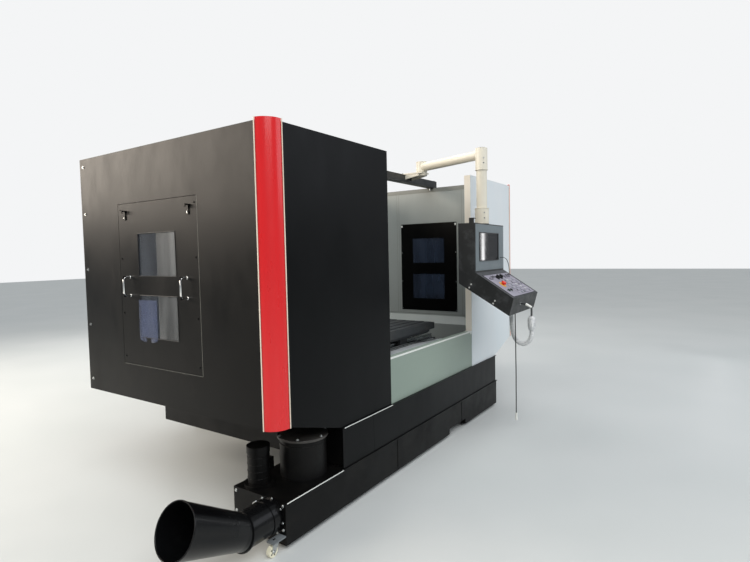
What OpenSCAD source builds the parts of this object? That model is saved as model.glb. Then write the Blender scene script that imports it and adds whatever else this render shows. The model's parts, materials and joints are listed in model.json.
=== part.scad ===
// Vertical machining centre with a sheet metal enclosure, side hatches, a front chip
// auger and a swinging operator pendant. All sizes are in millimetres. The machine is
// drawn with y = 0 on the front panels and is then moved so that the origin lies on the
// floor at the middle of the anchor holes.

/* [Enclosure] */
// Width over the outer side panels
enc_w = 3590; // [3500:10:3700]
// Depth from the front panels to the rear sheets
enc_d = 1810; // [1780:10:1950]
// Height of the top edge of the panels
enc_top = 2235; // [2200:5:2300]
// Height of the lower edge of the side panels
side_low = 645; // [620:5:680]
// Height of the lower edge of the front panels
front_low = 510; // [495:5:525]
// Clear width of the front opening
opening_w = 1380; // [1300:10:1450]
// Height of the sill under the front opening
sill_z = 830; // [815:5:850]
// Thickness of the panel sheet
sheet_t = 3; // [2:0.5:4]
// Depth of the folded edges of the front panels
fold_d = 60; // [50:5:75]
// Width of the rounded corner strips, seen from the front
strip_x = 105; // [95:5:115]
// Depth of the rounded corner strips, seen from the side
strip_y = 80; // [75:5:95]
// Radius of the rounded corner strips
strip_r = 95; // [85:5:120]
// Half the distance between the inner walls
inner_x = 1290; // [1270:5:1310]
// Height at which the inner walls fold in towards the chip pan
bend_z = 870; // [860:5:890]

/* [Hatches] */
// Width of the outer hatches
hatch_w = 800; // [760:10:840]
// Height of the outer hatches
hatch_h = 1030; // [980:10:1060]
// Distance of the outer hatches' middle from the front panels
hatch_y = 960; // [940:5:980]
// Height of the outer hatches' lower edge
hatch_z = 870; // [850:5:900]
// Gap round an outer hatch
hatch_gap = 3; // [2:0.5:5]
// Depth of the hatch tray
hatch_d = 22; // [18:1:26]
// Width of a window
win_w = 380; // [340:10:400]
// Height of a window
win_h = 265; // [240:5:280]
// Height from the hatch's lower edge to the lower window
win_low = 185; // [170:5:200]
// Height of the bar between the two windows
win_bar = 120; // [100:5:140]
// Thickness of the window panes
pane_t = 4; // [3:0.5:6]
// Height of the pull handles
pull_h = 130; // [110:5:150]
// Width of the inner hatches
inner_hatch_w = 670; // [640:10:700]
// Height of the inner hatches
inner_hatch_h = 940; // [900:10:960]
// Distance of the inner hatches' middle from the front panels
inner_hatch_y = 755; // [740:5:770]
// Height of the inner hatches' lower edge
inner_hatch_z = 925; // [910:5:940]

/* [Base and axes] */
// Width of the base casting
base_w = 1100; // [1060:10:1120]
// Distance from the front panels to the front of the base casting
base_y = 420; // [415:5:430]
// Length of the base casting
base_l = 1880; // [1850:10:1950]
// Height of the top of the base casting
base_top = 500; // [495:1:505]
// Height of the underside of the base casting
base_bot = 70; // [60:1:80]
// Diameter of the anchor holes
anchor_d = 26; // [22:1:30]
// Distance between the two Y rails
y_rail_gap = 700; // [640:10:760]
// Distance between the two X rails
x_rail_gap = 300; // [280:10:320]
// Distance between the two Z rails
z_rail_gap = 460; // [430:10:490]
// Width of the guide rails
rail_w = 40; // [35:1:45]
// Height of the guide rails
rail_h = 42; // [38:1:44]
// Diameter of the ball screws
screw_d = 40; // [32:1:45]
// Running clearance between sliding faces
run_gap = 0.3; // [0.2:0.05:0.5]

/* [Table and saddle] */
// Length of the worktable
table_l = 1300; // [1240:10:1340]
// Width of the worktable
table_w = 600; // [560:10:620]
// Height of the worktable's top face
table_z = 900; // [895:1:905]
// Thickness of the worktable
table_t = 90; // [80:1:95]
// Pitch of the T-slots
slot_pitch = 100; // [90:5:110]
// Number of T-slots
slot_n = 5; // [3:2:5]
// Width of the T-slots
slot_w = 18; // [14:1:22]
// Distance from the front panels to the middle of the table, parked at the front
table_y = 660; // [655:1:665]
// Length of the saddle along X
saddle_l = 1700; // [1660:10:1720]
// Width of the saddle along Y
saddle_w = 400; // [390:5:405]
// Thickness of the saddle
saddle_t = 160; // [150:1:165]
// Width of the telescopic way cover
cover_w = 1600; // [1500:10:1640]
// Length of one plate of the way cover
cover_l = 320; // [312:1:330]
// Drop from one plate of the way cover to the next
cover_drop = 3.3; // [3.2:0.1:4]

/* [Column and spindle] */
// Distance from the front panels to the front of the column
column_y = 1530; // [1525:1:1540]
// Width of the column at the top
column_w = 720; // [700:10:740]
// Height of the top of the column
column_top = 2330; // [2300:5:2360]
// Depth of the column at its foot
column_d = 700; // [680:10:740]
// Depth of the column at the top
column_top_d = 450; // [430:10:480]
// Distance from the front panels to the spindle's axis
spindle_y = 900; // [898:1:910]
// Height of the spindle nose at rest
nose_z = 1400; // [1390:5:1420]
// Width of the spindle head
head_w = 380; // [360:5:390]
// Diameter of the spindle cartridge's flange
cartridge_d = 210; // [190:5:220]
// Diameter of the spindle nose
nose_d = 128; // [110:1:140]
// Large end of the tool taper
taper_d = 69.85; // [44:0.05:70]

/* [Tool changer] */
// Sideways distance from the spindle to the tool change arm
arm_x = 300; // [290:5:310]
// Number of tool pots
pot_n = 24; // [16:1:24]
// Radius of the ring of tool pots
pot_ring_r = 300; // [290:5:310]
// Diameter of a tool pot
pot_d = 66; // [60:1:70]
// Length of a tool pot
pot_l = 105; // [90:5:120]

/* [Coolant and chips] */
// Height of the coolant tank's top
tank_top = 255; // [250:1:257]
// Height of the coolant tank's underside
tank_low = 25; // [22:1:30]
// Depth of the coolant tank
tank_d = 400; // [385:5:410]
// Left end of the coolant tank, from the middle of the machine
tank_left = 1740; // [1720:5:1760]
// Right end of the coolant tank, from the middle of the machine
tank_right = 1280; // [1260:5:1290]
// Distance from the front panels to the auger's axis
auger_y = 112; // [110:1:116]
// Height of the auger's axis
auger_z = 165; // [163:1:168]
// Outer radius of the auger's flight
auger_r = 74; // [65:1:78]
// Pitch of the auger's flight
auger_pitch = 150; // [120:10:200]
// Inner radius of the auger's trough
trough_r = 82; // [80:1:84]
// Outer radius of the discharge tube
spout_r = 92; // [90:1:94]
// Outer radius of the discharge spout's mouth
mouth_r = 128; // [115:1:135]
// Length of the straight discharge tube
spout_run = 206; // [190:2:220]
// Reach of the flared spout beyond the mitre
spout_reach = 372; // [340:2:400]
// Rise of the flared spout
spout_rise = 180; // [150:5:210]
// Radius of the caster wheels
wheel_r = 30; // [28:1:34]

/* [Pendant] */
// Yaw of the pendant at rest, in degrees
pendant_yaw = 2; // [0:1:6]
// Width of the pendant
pendant_w = 685; // [660:5:700]
// Reach of the pendant to the right of its drop tube
pendant_right = 300; // [290:5:310]
// Sideways place of the pendant's drop tube
pendant_x = 510; // [500:5:520]
// Distance of the pendant's drop tube in front of the front panels
pendant_y = 180; // [175:1:190]
// Height of the pendant's top
pendant_top = 1775; // [1765:5:1785]
// Depth of the pendant's upper box
pendant_d = 140; // [135:1:150]
// Height of the screen face
face_h = 390; // [380:5:400]
// Horizontal reach of the keyboard slope
key_run = 300; // [290:5:310]
// Fall of the keyboard slope
key_fall = 195; // [185:5:205]
// Height of the pendant's rear face
rear_h = 475; // [465:5:485]
// Diameter of the boom's tube
boom_d = 80; // [70:2:84]
// Diameter of the drop tube
drop_d = 88; // [80:2:94]
// Height of the boom's axis above the roof beam
boom_rise = 60; // [58:1:70]
// Sideways place of the boom's pivot
boom_x = 760; // [740:5:780]
// Distance of the boom's pivot from the front panels
boom_y = 530; // [510:5:550]

/* [Hidden] */
$fn = 48;

// Places that several pieces share
half_w = enc_w / 2;
panel_x = half_w - strip_x;
open_x = opening_w / 2;
skirt_x = 1240;
pan_x = 1225;
anchor_x = base_w / 2 + 50;
anchor_front_y = 640;
anchor_rear_y = 2060;
anchor_mid_y = (anchor_front_y + anchor_rear_y) / 2;
eps = 0.05;

// Colours
black = "#17181a";
cast_dark = "#2a2c2e";
steel = "#c9ccce";
liner = "#aab0ad";
red = "#e0202a";
white = "#d4d8da";
zinc = "#7d8f84";
cream = "#cfc7ae";
glass = "#30363c";

// A block between two corners
module block(a, b) {
    translate(a) cube(b - a);
}

// The children, and their mirror image on the machine's other side
module both_sides() {
    children();
    mirror([1, 0, 0]) children();
}

// The machine, with the origin at the middle of the anchor holes
module placed() {
    translate([0, -anchor_mid_y, 0]) children();
}

// An outline in X and Z, extruded along Y from y0 to y1
module along_y(y0, y1) {
    translate([0, y1, 0]) rotate([90, 0, 0]) linear_extrude(y1 - y0) children();
}

// An outline in Y and Z, extruded along X from x0 to x1
module along_x(x0, x1) {
    translate([x0, 0, 0]) rotate([90, 0, 90]) linear_extrude(x1 - x0) children();
}

// A cylinder along X from x0 to x1
module rod_x(r, x0, x1) {
    translate([x0, 0, 0]) rotate([0, 90, 0]) cylinder(r = r, h = x1 - x0);
}

// A cylinder along Y from y0 to y1
module rod_y(r, y0, y1) {
    translate([0, y1, 0]) rotate([90, 0, 0]) cylinder(r = r, h = y1 - y0);
}

// Where the line through p along u meets the line through q along v
function cross_at(p, u, q, v) =
    let (d = u[0] * v[1] - u[1] * v[0], w = q - p)
    p + u * ((w[0] * v[1] - w[1] * v[0]) / d);

// A convex outline, listed anticlockwise, moved in by t on every edge
function inset(pts, t) =
    let (n = len(pts))
    [for (i = [0:n - 1])
        let (
            a = pts[(i + n - 1) % n], b = pts[i], c = pts[(i + 1) % n],
            u = (b - a) / norm(b - a), v = (c - b) / norm(c - b)
        )
        cross_at(b + t * [-u[1], u[0]], u, b + t * [-v[1], v[0]], v)];

// Levelling feet, and the brackets of the casters

foot_x = anchor_x;
foot_ys = [570, anchor_mid_y, 2130];
lug_t = 40;
lug_z = base_bot;
pad_t = 20;
level_screw_d = 36;

module foot_pad(y, hole_y) {
    difference() {
        block([foot_x - 75, min(y, hole_y) - 75, 0], [foot_x + 75, max(y, hole_y) + 75, pad_t]);
        if (hole_y != y)
            translate([foot_x, hole_y, -1]) cylinder(d = anchor_d, h = pad_t + 2);
    }
}

module level_screw(y) {
    translate([foot_x, y, pad_t]) {
        cylinder(d = level_screw_d, h = lug_z + lug_t - pad_t + 45);
        cylinder(d = 70, h = 12);
        translate([0, 0, lug_z - pad_t - 24]) cylinder(d = 62, h = 24, $fn = 6);
        translate([0, 0, lug_z + lug_t - pad_t]) cylinder(d = 62, h = 24, $fn = 6);
    }
}

module levelling_feet() {
    color("#6f7478") both_sides() {
        foot_pad(foot_ys[0], anchor_front_y);
        foot_pad(foot_ys[1], foot_ys[1]);
        foot_pad(foot_ys[2], anchor_rear_y);
        for (y = foot_ys) level_screw(y);
    }
    // Brackets on the tank's end that carry the casters
    color(steel) for (y = caster_ys) difference() {
        block([caster_x - 30, tank_y + y - 26, caster_plate_z], [-tank_left, tank_y + y + 26, caster_plate_z + 8]);
        translate([caster_x, tank_y + y, caster_plate_z - 1]) cylinder(r = stem_r + 0.05, h = 10);
    }
}

// Base casting, with side lugs, rail ledges and a channel for the Y ball screw

base_end = base_y + base_l;
channel_w = 360;
channel_z = base_top - 110;
channel_end = column_y + 240;
pocket_start = 60;
pocket_l = 350;
pocket_pitch = 410;
rib_z = 250;

module base_lug(y0, y1) {
    block([base_w / 2 - 1, y0, lug_z], [foot_x + 70, y1, lug_z + lug_t]);
    for (y = [y0, y1 - 24])
        along_y(y, y + 24)
            polygon([[base_w / 2 - 1, lug_z + lug_t - 1], [foot_x + 60, lug_z + lug_t - 1],
                     [base_w / 2 - 1, rib_z]]);
}

module base_casting() {
    color(cast_dark) difference() {
        union() {
            block([-base_w / 2, base_y, base_bot], [base_w / 2, base_end, base_top]);
            both_sides() {
                base_lug(foot_ys[0] - 65, anchor_front_y + 65);
                base_lug(foot_ys[1] - 65, foot_ys[1] + 65);
                base_lug(anchor_rear_y - 65, foot_ys[2] + 65);
            }
        }
        // Channel for the Y ball screw and its motor
        block([-channel_w / 2, base_y - 1, channel_z], [channel_w / 2, channel_end, base_top + 1]);
        // Pockets cast into the underside, between cross ribs
        for (i = [0:3], y = base_y + pocket_start + i * pocket_pitch)
            both_sides() block([40, y, base_bot - 1], [base_w / 2 - 60, y + pocket_l, channel_z - 40]);
        // Core holes in the side walls
        for (i = [1, 3])
            translate([0, base_y + pocket_start + i * pocket_pitch + pocket_l / 2, base_bot + 160])
                both_sides() rod_x(70, base_w / 2 - 61, base_w / 2 + 1);
        both_sides() {
            for (y = foot_ys)
                translate([foot_x, y, 0]) cylinder(d = level_screw_d + 2 * run_gap, h = base_top);
            for (y = [anchor_front_y, anchor_rear_y])
                translate([foot_x, y, 0]) cylinder(d = anchor_d, h = base_top);
        }
    }
}

// Guide rails and ball screws that stay with the base and the column

rail_foot = 12;
y_screw_z = channel_z + 65;
y_screw_l = column_y - 30 - base_y - 25;
z_screw_y = column_y + 45;
z_rail_low = 950;
z_rail_high = column_top - 20;
z_screw_low = z_rail_low - 30;
bearing_t = 36;

// A profiled rail: a broad foot, a waist and a broad head
module rail_outline() {
    polygon([[-rail_w / 2, 0], [rail_w / 2, 0], [rail_w / 2, rail_foot],
             [rail_w / 2 - 5, rail_foot + 6], [rail_w / 2 - 5, rail_h - 14],
             [rail_w / 2, rail_h - 8], [rail_w / 2 - 3, rail_h],
             [-rail_w / 2 + 3, rail_h], [-rail_w / 2, rail_h - 8],
             [-rail_w / 2 + 5, rail_h - 14], [-rail_w / 2 + 5, rail_foot + 6],
             [-rail_w / 2, rail_foot]]);
}

// A ball screw along Z, with its threaded stretch a little wider than its journals
module ball_screw(l, journal) {
    cylinder(d = screw_d - 8, h = l);
    translate([0, 0, journal]) cylinder(d = screw_d, h = l - 2 * journal);
}

// A bearing block round a screw that runs along Z
module screw_bearing(w, h, t) {
    difference() {
        translate([-w / 2, -h / 2, 0]) cube([w, h, t]);
        translate([0, 0, -1]) cylinder(d = screw_d - 8, h = t + 2);
    }
}

module guide_rails() {
    color(steel) {
        both_sides() translate([y_rail_gap / 2, 0, base_top])
            along_y(base_y + 20, column_y - 30) rail_outline();
        both_sides() translate([z_rail_gap / 2, column_y, z_rail_low])
            rotate([0, 0, 180]) linear_extrude(z_rail_high - z_rail_low) rail_outline();
        translate([0, base_y + 25, y_screw_z]) rotate([-90, 0, 0]) {
            ball_screw(y_screw_l, bearing_t + 6);
            translate([0, 0, 5]) screw_bearing(120, 2 * (y_screw_z - channel_z), bearing_t);
            translate([0, 0, y_screw_l - bearing_t])
                screw_bearing(120, 2 * (y_screw_z - channel_z), bearing_t);
        }
        translate([0, z_screw_y, z_screw_low]) {
            ball_screw(column_top - z_screw_low, bearing_t + 6);
            screw_bearing(150, 90, bearing_t);
        }
    }
}

// Servo motors of the Y and Z axes

motor_w = 130;

// A servo motor along Z: flange, body, connector and rear cap
module servo(l) {
    translate([-motor_w / 2, -motor_w / 2, 0]) cube([motor_w, motor_w, 18]);
    translate([0, 0, 18 - eps]) linear_extrude(l - 60) polygon(chamfered(motor_w / 2 - 6, 18));
    translate([0, 0, l - 44]) cylinder(d = motor_w - 24, h = 44);
    translate([motor_w / 2 - 16, -22, l - 120]) cube([40, 44, 60]);
}

// A square from -a to a with chamfered corners, as points
function chamfered(a, c) = [[a, c - a], [a, a - c], [a - c, a], [c - a, a],
                            [-a, a - c], [-a, c - a], [c - a, -a], [a - c, -a]];

module axis_motors() {
    color(black) {
        translate([0, base_y + 25 + y_screw_l, y_screw_z]) rotate([-90, 0, 0]) servo(230);
        translate([0, z_screw_y, column_top]) servo(300);
    }
}

// Column: a tapered casting on two broad legs, with a channel for the Z ball screw

tunnel_w = 560;
tunnel_h = 300;

module column() {
    color(cast_dark) difference() {
        intersection() {
            along_x(-column_w, column_w)
                polygon([[column_y, base_top], [column_y + column_d, base_top],
                         [column_y + column_d, base_top + 420],
                         [column_y + column_top_d, column_top - 500],
                         [column_y + column_top_d, column_top], [column_y, column_top]]);
            along_y(column_y - 1, column_y + column_d + 1)
                polygon([[-base_w / 2 + 40, base_top - 1], [base_w / 2 - 40, base_top - 1],
                         [base_w / 2 - 40, base_top + 200], [column_w / 2, base_top + 720],
                         [column_w / 2, column_top + 1], [-column_w / 2, column_top + 1],
                         [-column_w / 2, base_top + 720], [-base_w / 2 + 40, base_top + 200]]);
        }
        // Tunnel between the legs, for the rear way cover
        along_y(column_y - 2, column_y + column_d + 2)
            polygon([[-tunnel_w / 2, base_top - 1], [tunnel_w / 2, base_top - 1],
                     [tunnel_w / 2, base_top + tunnel_h - 90],
                     [tunnel_w / 2 - 90, base_top + tunnel_h],
                     [-tunnel_w / 2 + 90, base_top + tunnel_h],
                     [-tunnel_w / 2, base_top + tunnel_h - 90]]);
        // Channel for the Z ball screw, open at the top under its motor
        block([-100, column_y - 1, z_rail_low - 30], [100, column_y + 100, column_top - 60]);
        translate([0, z_screw_y, column_top - 70]) cylinder(d = screw_d + 10, h = 80);
        // Core holes in the flanks
        for (z = [base_top + 760, base_top + 1180])
            translate([0, column_y + 250, z]) both_sides() rod_x(80, 250, column_w);
        block([-250, column_y + 120, base_top + 600], [250, column_y + 380, column_top - 160]);
    }
}

// Tool magazine: carrier plate, round cover and the change gearbox

mag_x = 2 * arm_x;
mag_y = spindle_y;
mag_cover_r = pot_ring_r + pot_d / 2 + 34;
mag_z = enc_top - mag_cover_r - 18;
mag_face = -mag_x + 120;
gear_w = 150;
gear_low = nose_z + 60;
gear_high = nose_z + 480;
shaft_d = 60;
hub_r = 40;

module magazine_housing() {
    color("#8d9290") {
        // Carrier that reaches forward from the column's left flank
        difference() {
            block([-column_w / 2 - 30, mag_y - 60, gear_high - 30],
                  [-column_w / 2, column_y + 220, gear_high + 230]);
            along_x(-column_w / 2 - 31, -column_w / 2 + 1)
                polygon([[mag_y + 120, gear_high + 60], [column_y - 120, gear_high + 60],
                         [column_y - 120, gear_high + 160], [mag_y + 120, gear_high + 160]]);
        }
        // Round cover behind the disc, with a rim
        difference() {
            translate([0, mag_y, mag_z]) rod_x(mag_cover_r, mag_face + 20, mag_face + 66);
            translate([0, mag_y, mag_z]) rod_x(mag_cover_r - 4, mag_face + 19, mag_face + 56);
            // Bearing of the disc's hub
            translate([0, mag_y, mag_z]) rod_x(hub_r + 0.05, mag_face + 10, mag_face + 80);
        }
        // Block that joins the cover to the carrier
        block([mag_face + 66, mag_y - 60, gear_high], [-column_w / 2 - 30, mag_y + 60, gear_high + 200]);
        // Gearbox of the change arm
        difference() {
            block([-arm_x - gear_w / 2, mag_y - gear_w / 2, gear_low + 60],
                  [-arm_x + gear_w / 2 - 30, mag_y + gear_w / 2, gear_high - 30]);
            translate([-arm_x, mag_y, gear_low]) cylinder(d = shaft_d + 0.1, h = 181);
        }
        difference() {
            translate([-arm_x, mag_y, gear_low + 20]) cylinder(d = 110, h = 41);
            translate([-arm_x, mag_y, gear_low]) cylinder(d = shaft_d + 0.1, h = 120);
        }
    }
}

// Telescopic way cover in front of the saddle

cover_t = 3;
cover_top = table_z - table_t - 60;
cover_front = fold_d;
saddle_front = table_y - saddle_w / 2;
saddle_rear = table_y + saddle_w / 2;
saddle_z = base_top + 60;
rear_plate_l = 690;

// Roofed plate with folded ends: a shallow ridge across the machine
module cover_outline(k) {
    w = cover_w / 2 - k * cover_drop;
    z = cover_top - k * cover_drop;
    skirt = 120;
    polygon([[-w, z - skirt], [-w + cover_t, z - skirt], [-w + cover_t, z - 30 - cover_t],
             [-w / 3, z - cover_t], [w / 3, z - cover_t], [w - cover_t, z - 30 - cover_t],
             [w - cover_t, z - skirt], [w, z - skirt], [w, z - 30], [w / 3, z],
             [-w / 3, z], [-w, z - 30]]);
}

module way_cover(k, y0) {
    color(steel) along_y(y0, y0 + cover_l) cover_outline(k);
}

// Rest places of the plates, spread evenly between the front edge and the saddle
function cover_y(k) = cover_front + k * (saddle_front - cover_l - cover_front) / 2;

module way_cover_1() {
    way_cover(0, cover_y(0));
}

module way_cover_2() {
    way_cover(1, cover_y(1));
}

module saddle_covers() {
    way_cover(2, cover_y(2));
    // Single plate behind the saddle, which slides in between the column's legs
    color(steel) along_y(saddle_rear, saddle_rear + rear_plate_l)
        polygon([[-tunnel_w / 2 + 30, saddle_z + 20], [-tunnel_w / 2 + 33, saddle_z + 20],
                 [-tunnel_w / 2 + 33, saddle_z + 77], [tunnel_w / 2 - 33, saddle_z + 77],
                 [tunnel_w / 2 - 33, saddle_z + 20], [tunnel_w / 2 - 30, saddle_z + 20],
                 [tunnel_w / 2 - 30, saddle_z + 80], [-tunnel_w / 2 + 30, saddle_z + 80]]);
}

// Saddle, with its carriages on the Y rails and a channel for the X ball screw

carriage_w = 100;
carriage_l = 120;
saddle_top = saddle_z + saddle_t;
x_screw_z = saddle_top - 10;
x_channel = 150;

// A carriage on a rail that runs along Y, its top at height h over the rail's foot
module carriage(h) {
    difference() {
        block([-carriage_w / 2, -carriage_l / 2, 10], [carriage_w / 2, carriage_l / 2, h]);
        block([-rail_w / 2 - run_gap, -carriage_l, 9], [rail_w / 2 + run_gap, carriage_l, rail_h + run_gap]);
    }
}

module saddle() {
    color(cast_dark) {
        difference() {
            union() {
                along_y(saddle_front, saddle_rear)
                    polygon([[-y_rail_gap / 2 - 90, saddle_z], [y_rail_gap / 2 + 90, saddle_z],
                             [saddle_l / 2, saddle_z + 70], [saddle_l / 2, saddle_top],
                             [-saddle_l / 2, saddle_top], [-saddle_l / 2, saddle_z + 70]]);
                // Nut housing of the Y screw
                block([-70, table_y - 60, y_screw_z - 40], [70, table_y + 60, saddle_z + 1]);
            }
            block([-saddle_l / 2 + 120, table_y - x_channel / 2, saddle_top - 60],
                  [saddle_l / 2 - 120, table_y + x_channel / 2, saddle_top + 1]);
            block([saddle_l / 2 - 121, table_y - x_channel / 2, saddle_top - 60],
                  [saddle_l / 2 + 1, table_y + x_channel / 2, saddle_top + 1]);
            translate([0, 0, y_screw_z]) rod_y(screw_d / 2 + 0.05, saddle_front - 1, saddle_rear + 1);
        }
        both_sides() for (s = [-1, 1])
            translate([y_rail_gap / 2, table_y + s * 130, base_top]) carriage(saddle_z - base_top);
        // X servo motor, on the saddle's right end
        translate([saddle_l / 2 - 60, table_y, x_screw_z]) rotate([0, 90, 0])
            small_servo();
    }
}

// The X motor is a smaller servo, flat enough to pass under the table
module small_servo() {
    w = 2 * (x_screw_z - saddle_top + 60);
    translate([-w / 2, -w / 2, 0]) cube([w, w, 16]);
    translate([-w / 2 + 5, -w / 2 + 5, 16]) cube([w - 10, w - 10, 170]);
    translate([0, 0, 186]) cylinder(d = w - 16, h = 34);
}

module saddle_rails() {
    color(steel) {
        for (s = [-1, 1])
            translate([0, table_y + s * x_rail_gap / 2, saddle_top])
                along_x(-saddle_l / 2 + 10, saddle_l / 2 - 10) rail_outline();
        translate([-saddle_l / 2 + 125, table_y, x_screw_z]) rotate([0, 90, 0]) {
            ball_screw(saddle_l - 185, 60);
            translate([0, 0, 10]) screw_bearing(100, 120, 40);
        }
    }
}

// Worktable with T-slots

table_low = table_z - table_t;
table_rail_h = table_low - saddle_top;

module t_slot(y) {
    along_x(-table_l / 2 - 1, table_l / 2 + 1)
        polygon([[y - slot_w / 2, table_z + 1], [y - slot_w / 2, table_z - 20],
                 [y - slot_w / 2 - 7, table_z - 20], [y - slot_w / 2 - 7, table_z - 34],
                 [y + slot_w / 2 + 7, table_z - 34], [y + slot_w / 2 + 7, table_z - 20],
                 [y + slot_w / 2, table_z - 20], [y + slot_w / 2, table_z + 1]]);
}

module table() {
    color(cast_dark) {
        difference() {
            union() {
                block([-table_l / 2, table_y - table_w / 2, table_z - 60],
                      [table_l / 2, table_y + table_w / 2, table_z]);
                block([-table_l / 2 + 25, table_y - table_w / 2 + 40, table_low],
                      [table_l / 2 - 25, table_y + table_w / 2 - 40, table_z - 59]);
                // Nut housing of the X screw
                block([-60, table_y - 45, x_screw_z - 30], [60, table_y + 45, table_low + 1]);
            }
            for (i = [0:slot_n - 1]) t_slot(table_y + (i - (slot_n - 1) / 2) * slot_pitch);
            // Coolant gutters along the two long edges
            for (s = [-1, 1])
                block([-table_l / 2 - 1, table_y + s * (table_w / 2 - 18) - 9, table_z - 8],
                      [table_l / 2 + 1, table_y + s * (table_w / 2 - 18) + 9, table_z + 1]);
            translate([0, table_y, x_screw_z]) rod_x(screw_d / 2 + 0.05, -61, 61);
        }
        for (sx = [-1, 1], sy = [-1, 1])
            translate([sx * 250, table_y + sy * x_rail_gap / 2, saddle_top])
                rotate([0, 0, 90]) carriage(table_rail_h);
    }
}

// Spindle head with its carriages on the Z rails

head_back = column_y - 75;
head_l = 560;
head_top = nose_z + head_l;
cartridge_top = 200;

module spindle_head() {
    color("#3a3d40") {
        difference() {
            union() {
                along_x(-head_w / 2, head_w / 2)
                    polygon([[spindle_y - 135, nose_z + 150], [spindle_y + 130, nose_z + 100],
                             [head_back, nose_z + 40], [head_back, head_top],
                             [spindle_y - 90, head_top], [spindle_y - 135, head_top - 60]]);
                // Saddle plate that carries the head on the rails
                block([-z_rail_gap / 2 - 60, head_back - 40, nose_z + 40],
                      [z_rail_gap / 2 + 60, head_back, head_top]);
                // Nut housing of the Z screw
                block([-70, head_back - 1, nose_z + 240], [70, z_screw_y + 50, nose_z + 340]);
            }
            translate([0, spindle_y, nose_z]) cylinder(d = nose_d + 0.1, h = spindle_l + 1);
            translate([0, spindle_y, nose_z]) cylinder(d = cartridge_d + 0.1, h = cartridge_top + run_gap);
            translate([0, z_screw_y, nose_z]) cylinder(d = screw_d + 0.1, h = head_top - nose_z + 1);
        }
        // Spindle cartridge, set in the casting's bore
        translate([0, spindle_y, nose_z + 40]) difference() {
            cylinder(d = cartridge_d, h = cartridge_top - 40);
            translate([0, 0, -1]) cylinder(d = nose_d + 0.1, h = cartridge_top);
        }
        for (sx = [-1, 1], z = [nose_z + 130, nose_z + 470])
            translate([sx * z_rail_gap / 2, column_y, z]) rotate([90, 0, 0]) carriage(column_y - head_back);
    }
}

spindle_motor_w = 220;
motor_flange_w = 250;

module spindle_motor() {
    color(black) translate([0, spindle_y, head_top]) {
        translate([-motor_flange_w / 2, -motor_flange_w / 2, 0]) cube([motor_flange_w, motor_flange_w, 30]);
        translate([-spindle_motor_w / 2, -spindle_motor_w / 2, 29]) cube([spindle_motor_w, spindle_motor_w, 261]);
        translate([0, 0, 289]) cylinder(d = 200, h = 51);
        translate([spindle_motor_w / 2 - 6, -50, 120]) cube([60, 100, 90]);
    }
}

// Spindle: a nose with two drive keys and a steep taper, and a pull bore behind it

taper_l = 100;
spindle_l = 340;

module spindle() {
    color(steel) translate([0, spindle_y, nose_z]) difference() {
        union() {
            cylinder(d = nose_d, h = spindle_l);
            for (s = [-1, 1]) translate([s * 46 - 9, -9, -10]) cube([18, 18, 12]);
        }
        translate([0, 0, -1]) cylinder(d1 = taper_d, d2 = taper_d - taper_l * 7 / 24, h = taper_l);
        cylinder(d = 25, h = 240);
    }
}

// Magazine disc with its ring of tool pots

module tool_pot() {
    difference() {
        rod_x(pot_d / 2, -pot_l, -5);
        rod_x(22, -pot_l - 1, -40);
    }
}

module magazine_disc() {
    color("#9a9e9c") translate([mag_face, mag_y, mag_z]) {
        difference() {
            union() {
                rod_x(pot_ring_r - 8, -30, 0);
                rod_x(hub_r, -60, 65);
            }
            for (i = [0:5]) rotate([i * 60, 0, 0]) translate([0, 0, 150]) rod_x(55, -31, 1);
        }
        for (i = [0:pot_n - 1])
            rotate([i * 360 / pot_n, 0, 0]) translate([0, 0, -pot_ring_r]) tool_pot();
    }
}

// Tool change arm, parked square to the line from the spindle to the ready pot

arm_z = nose_z - 48;
grip_r = 34;

module arm_outline() {
    difference() {
        union() {
            hull() {
                circle(r = 52);
                translate([0, arm_x - 60]) circle(r = 34);
            }
            hull() {
                circle(r = 52);
                translate([0, -arm_x + 60]) circle(r = 34);
            }
            for (s = [-1, 1]) translate([0, s * arm_x]) circle(r = grip_r + 20);
        }
        for (s = [-1, 1]) {
            translate([0, s * arm_x]) circle(r = grip_r);
            // The grip is open on the side that meets the tool
            translate([0, s * arm_x]) rotate([0, 0, s > 0 ? 0 : 180])
                translate([0, -grip_r + 6]) square([grip_r + 30, 2 * grip_r - 12]);
        }
    }
}

module change_arm() {
    color(steel) translate([-arm_x, mag_y, arm_z]) {
        linear_extrude(30) arm_outline();
        translate([0, 0, 30 - eps]) cylinder(d = shaft_d, h = gear_low + 180 - arm_z - 30);
    }
}

// Chip pan under the enclosure, with sloping chutes beside the base

pan_t = 4;
pan_low = tank_top + 7;
pan_rear = enc_d - sheet_t;
pan_lip_y = auger_y + trough_r + 12;

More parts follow.
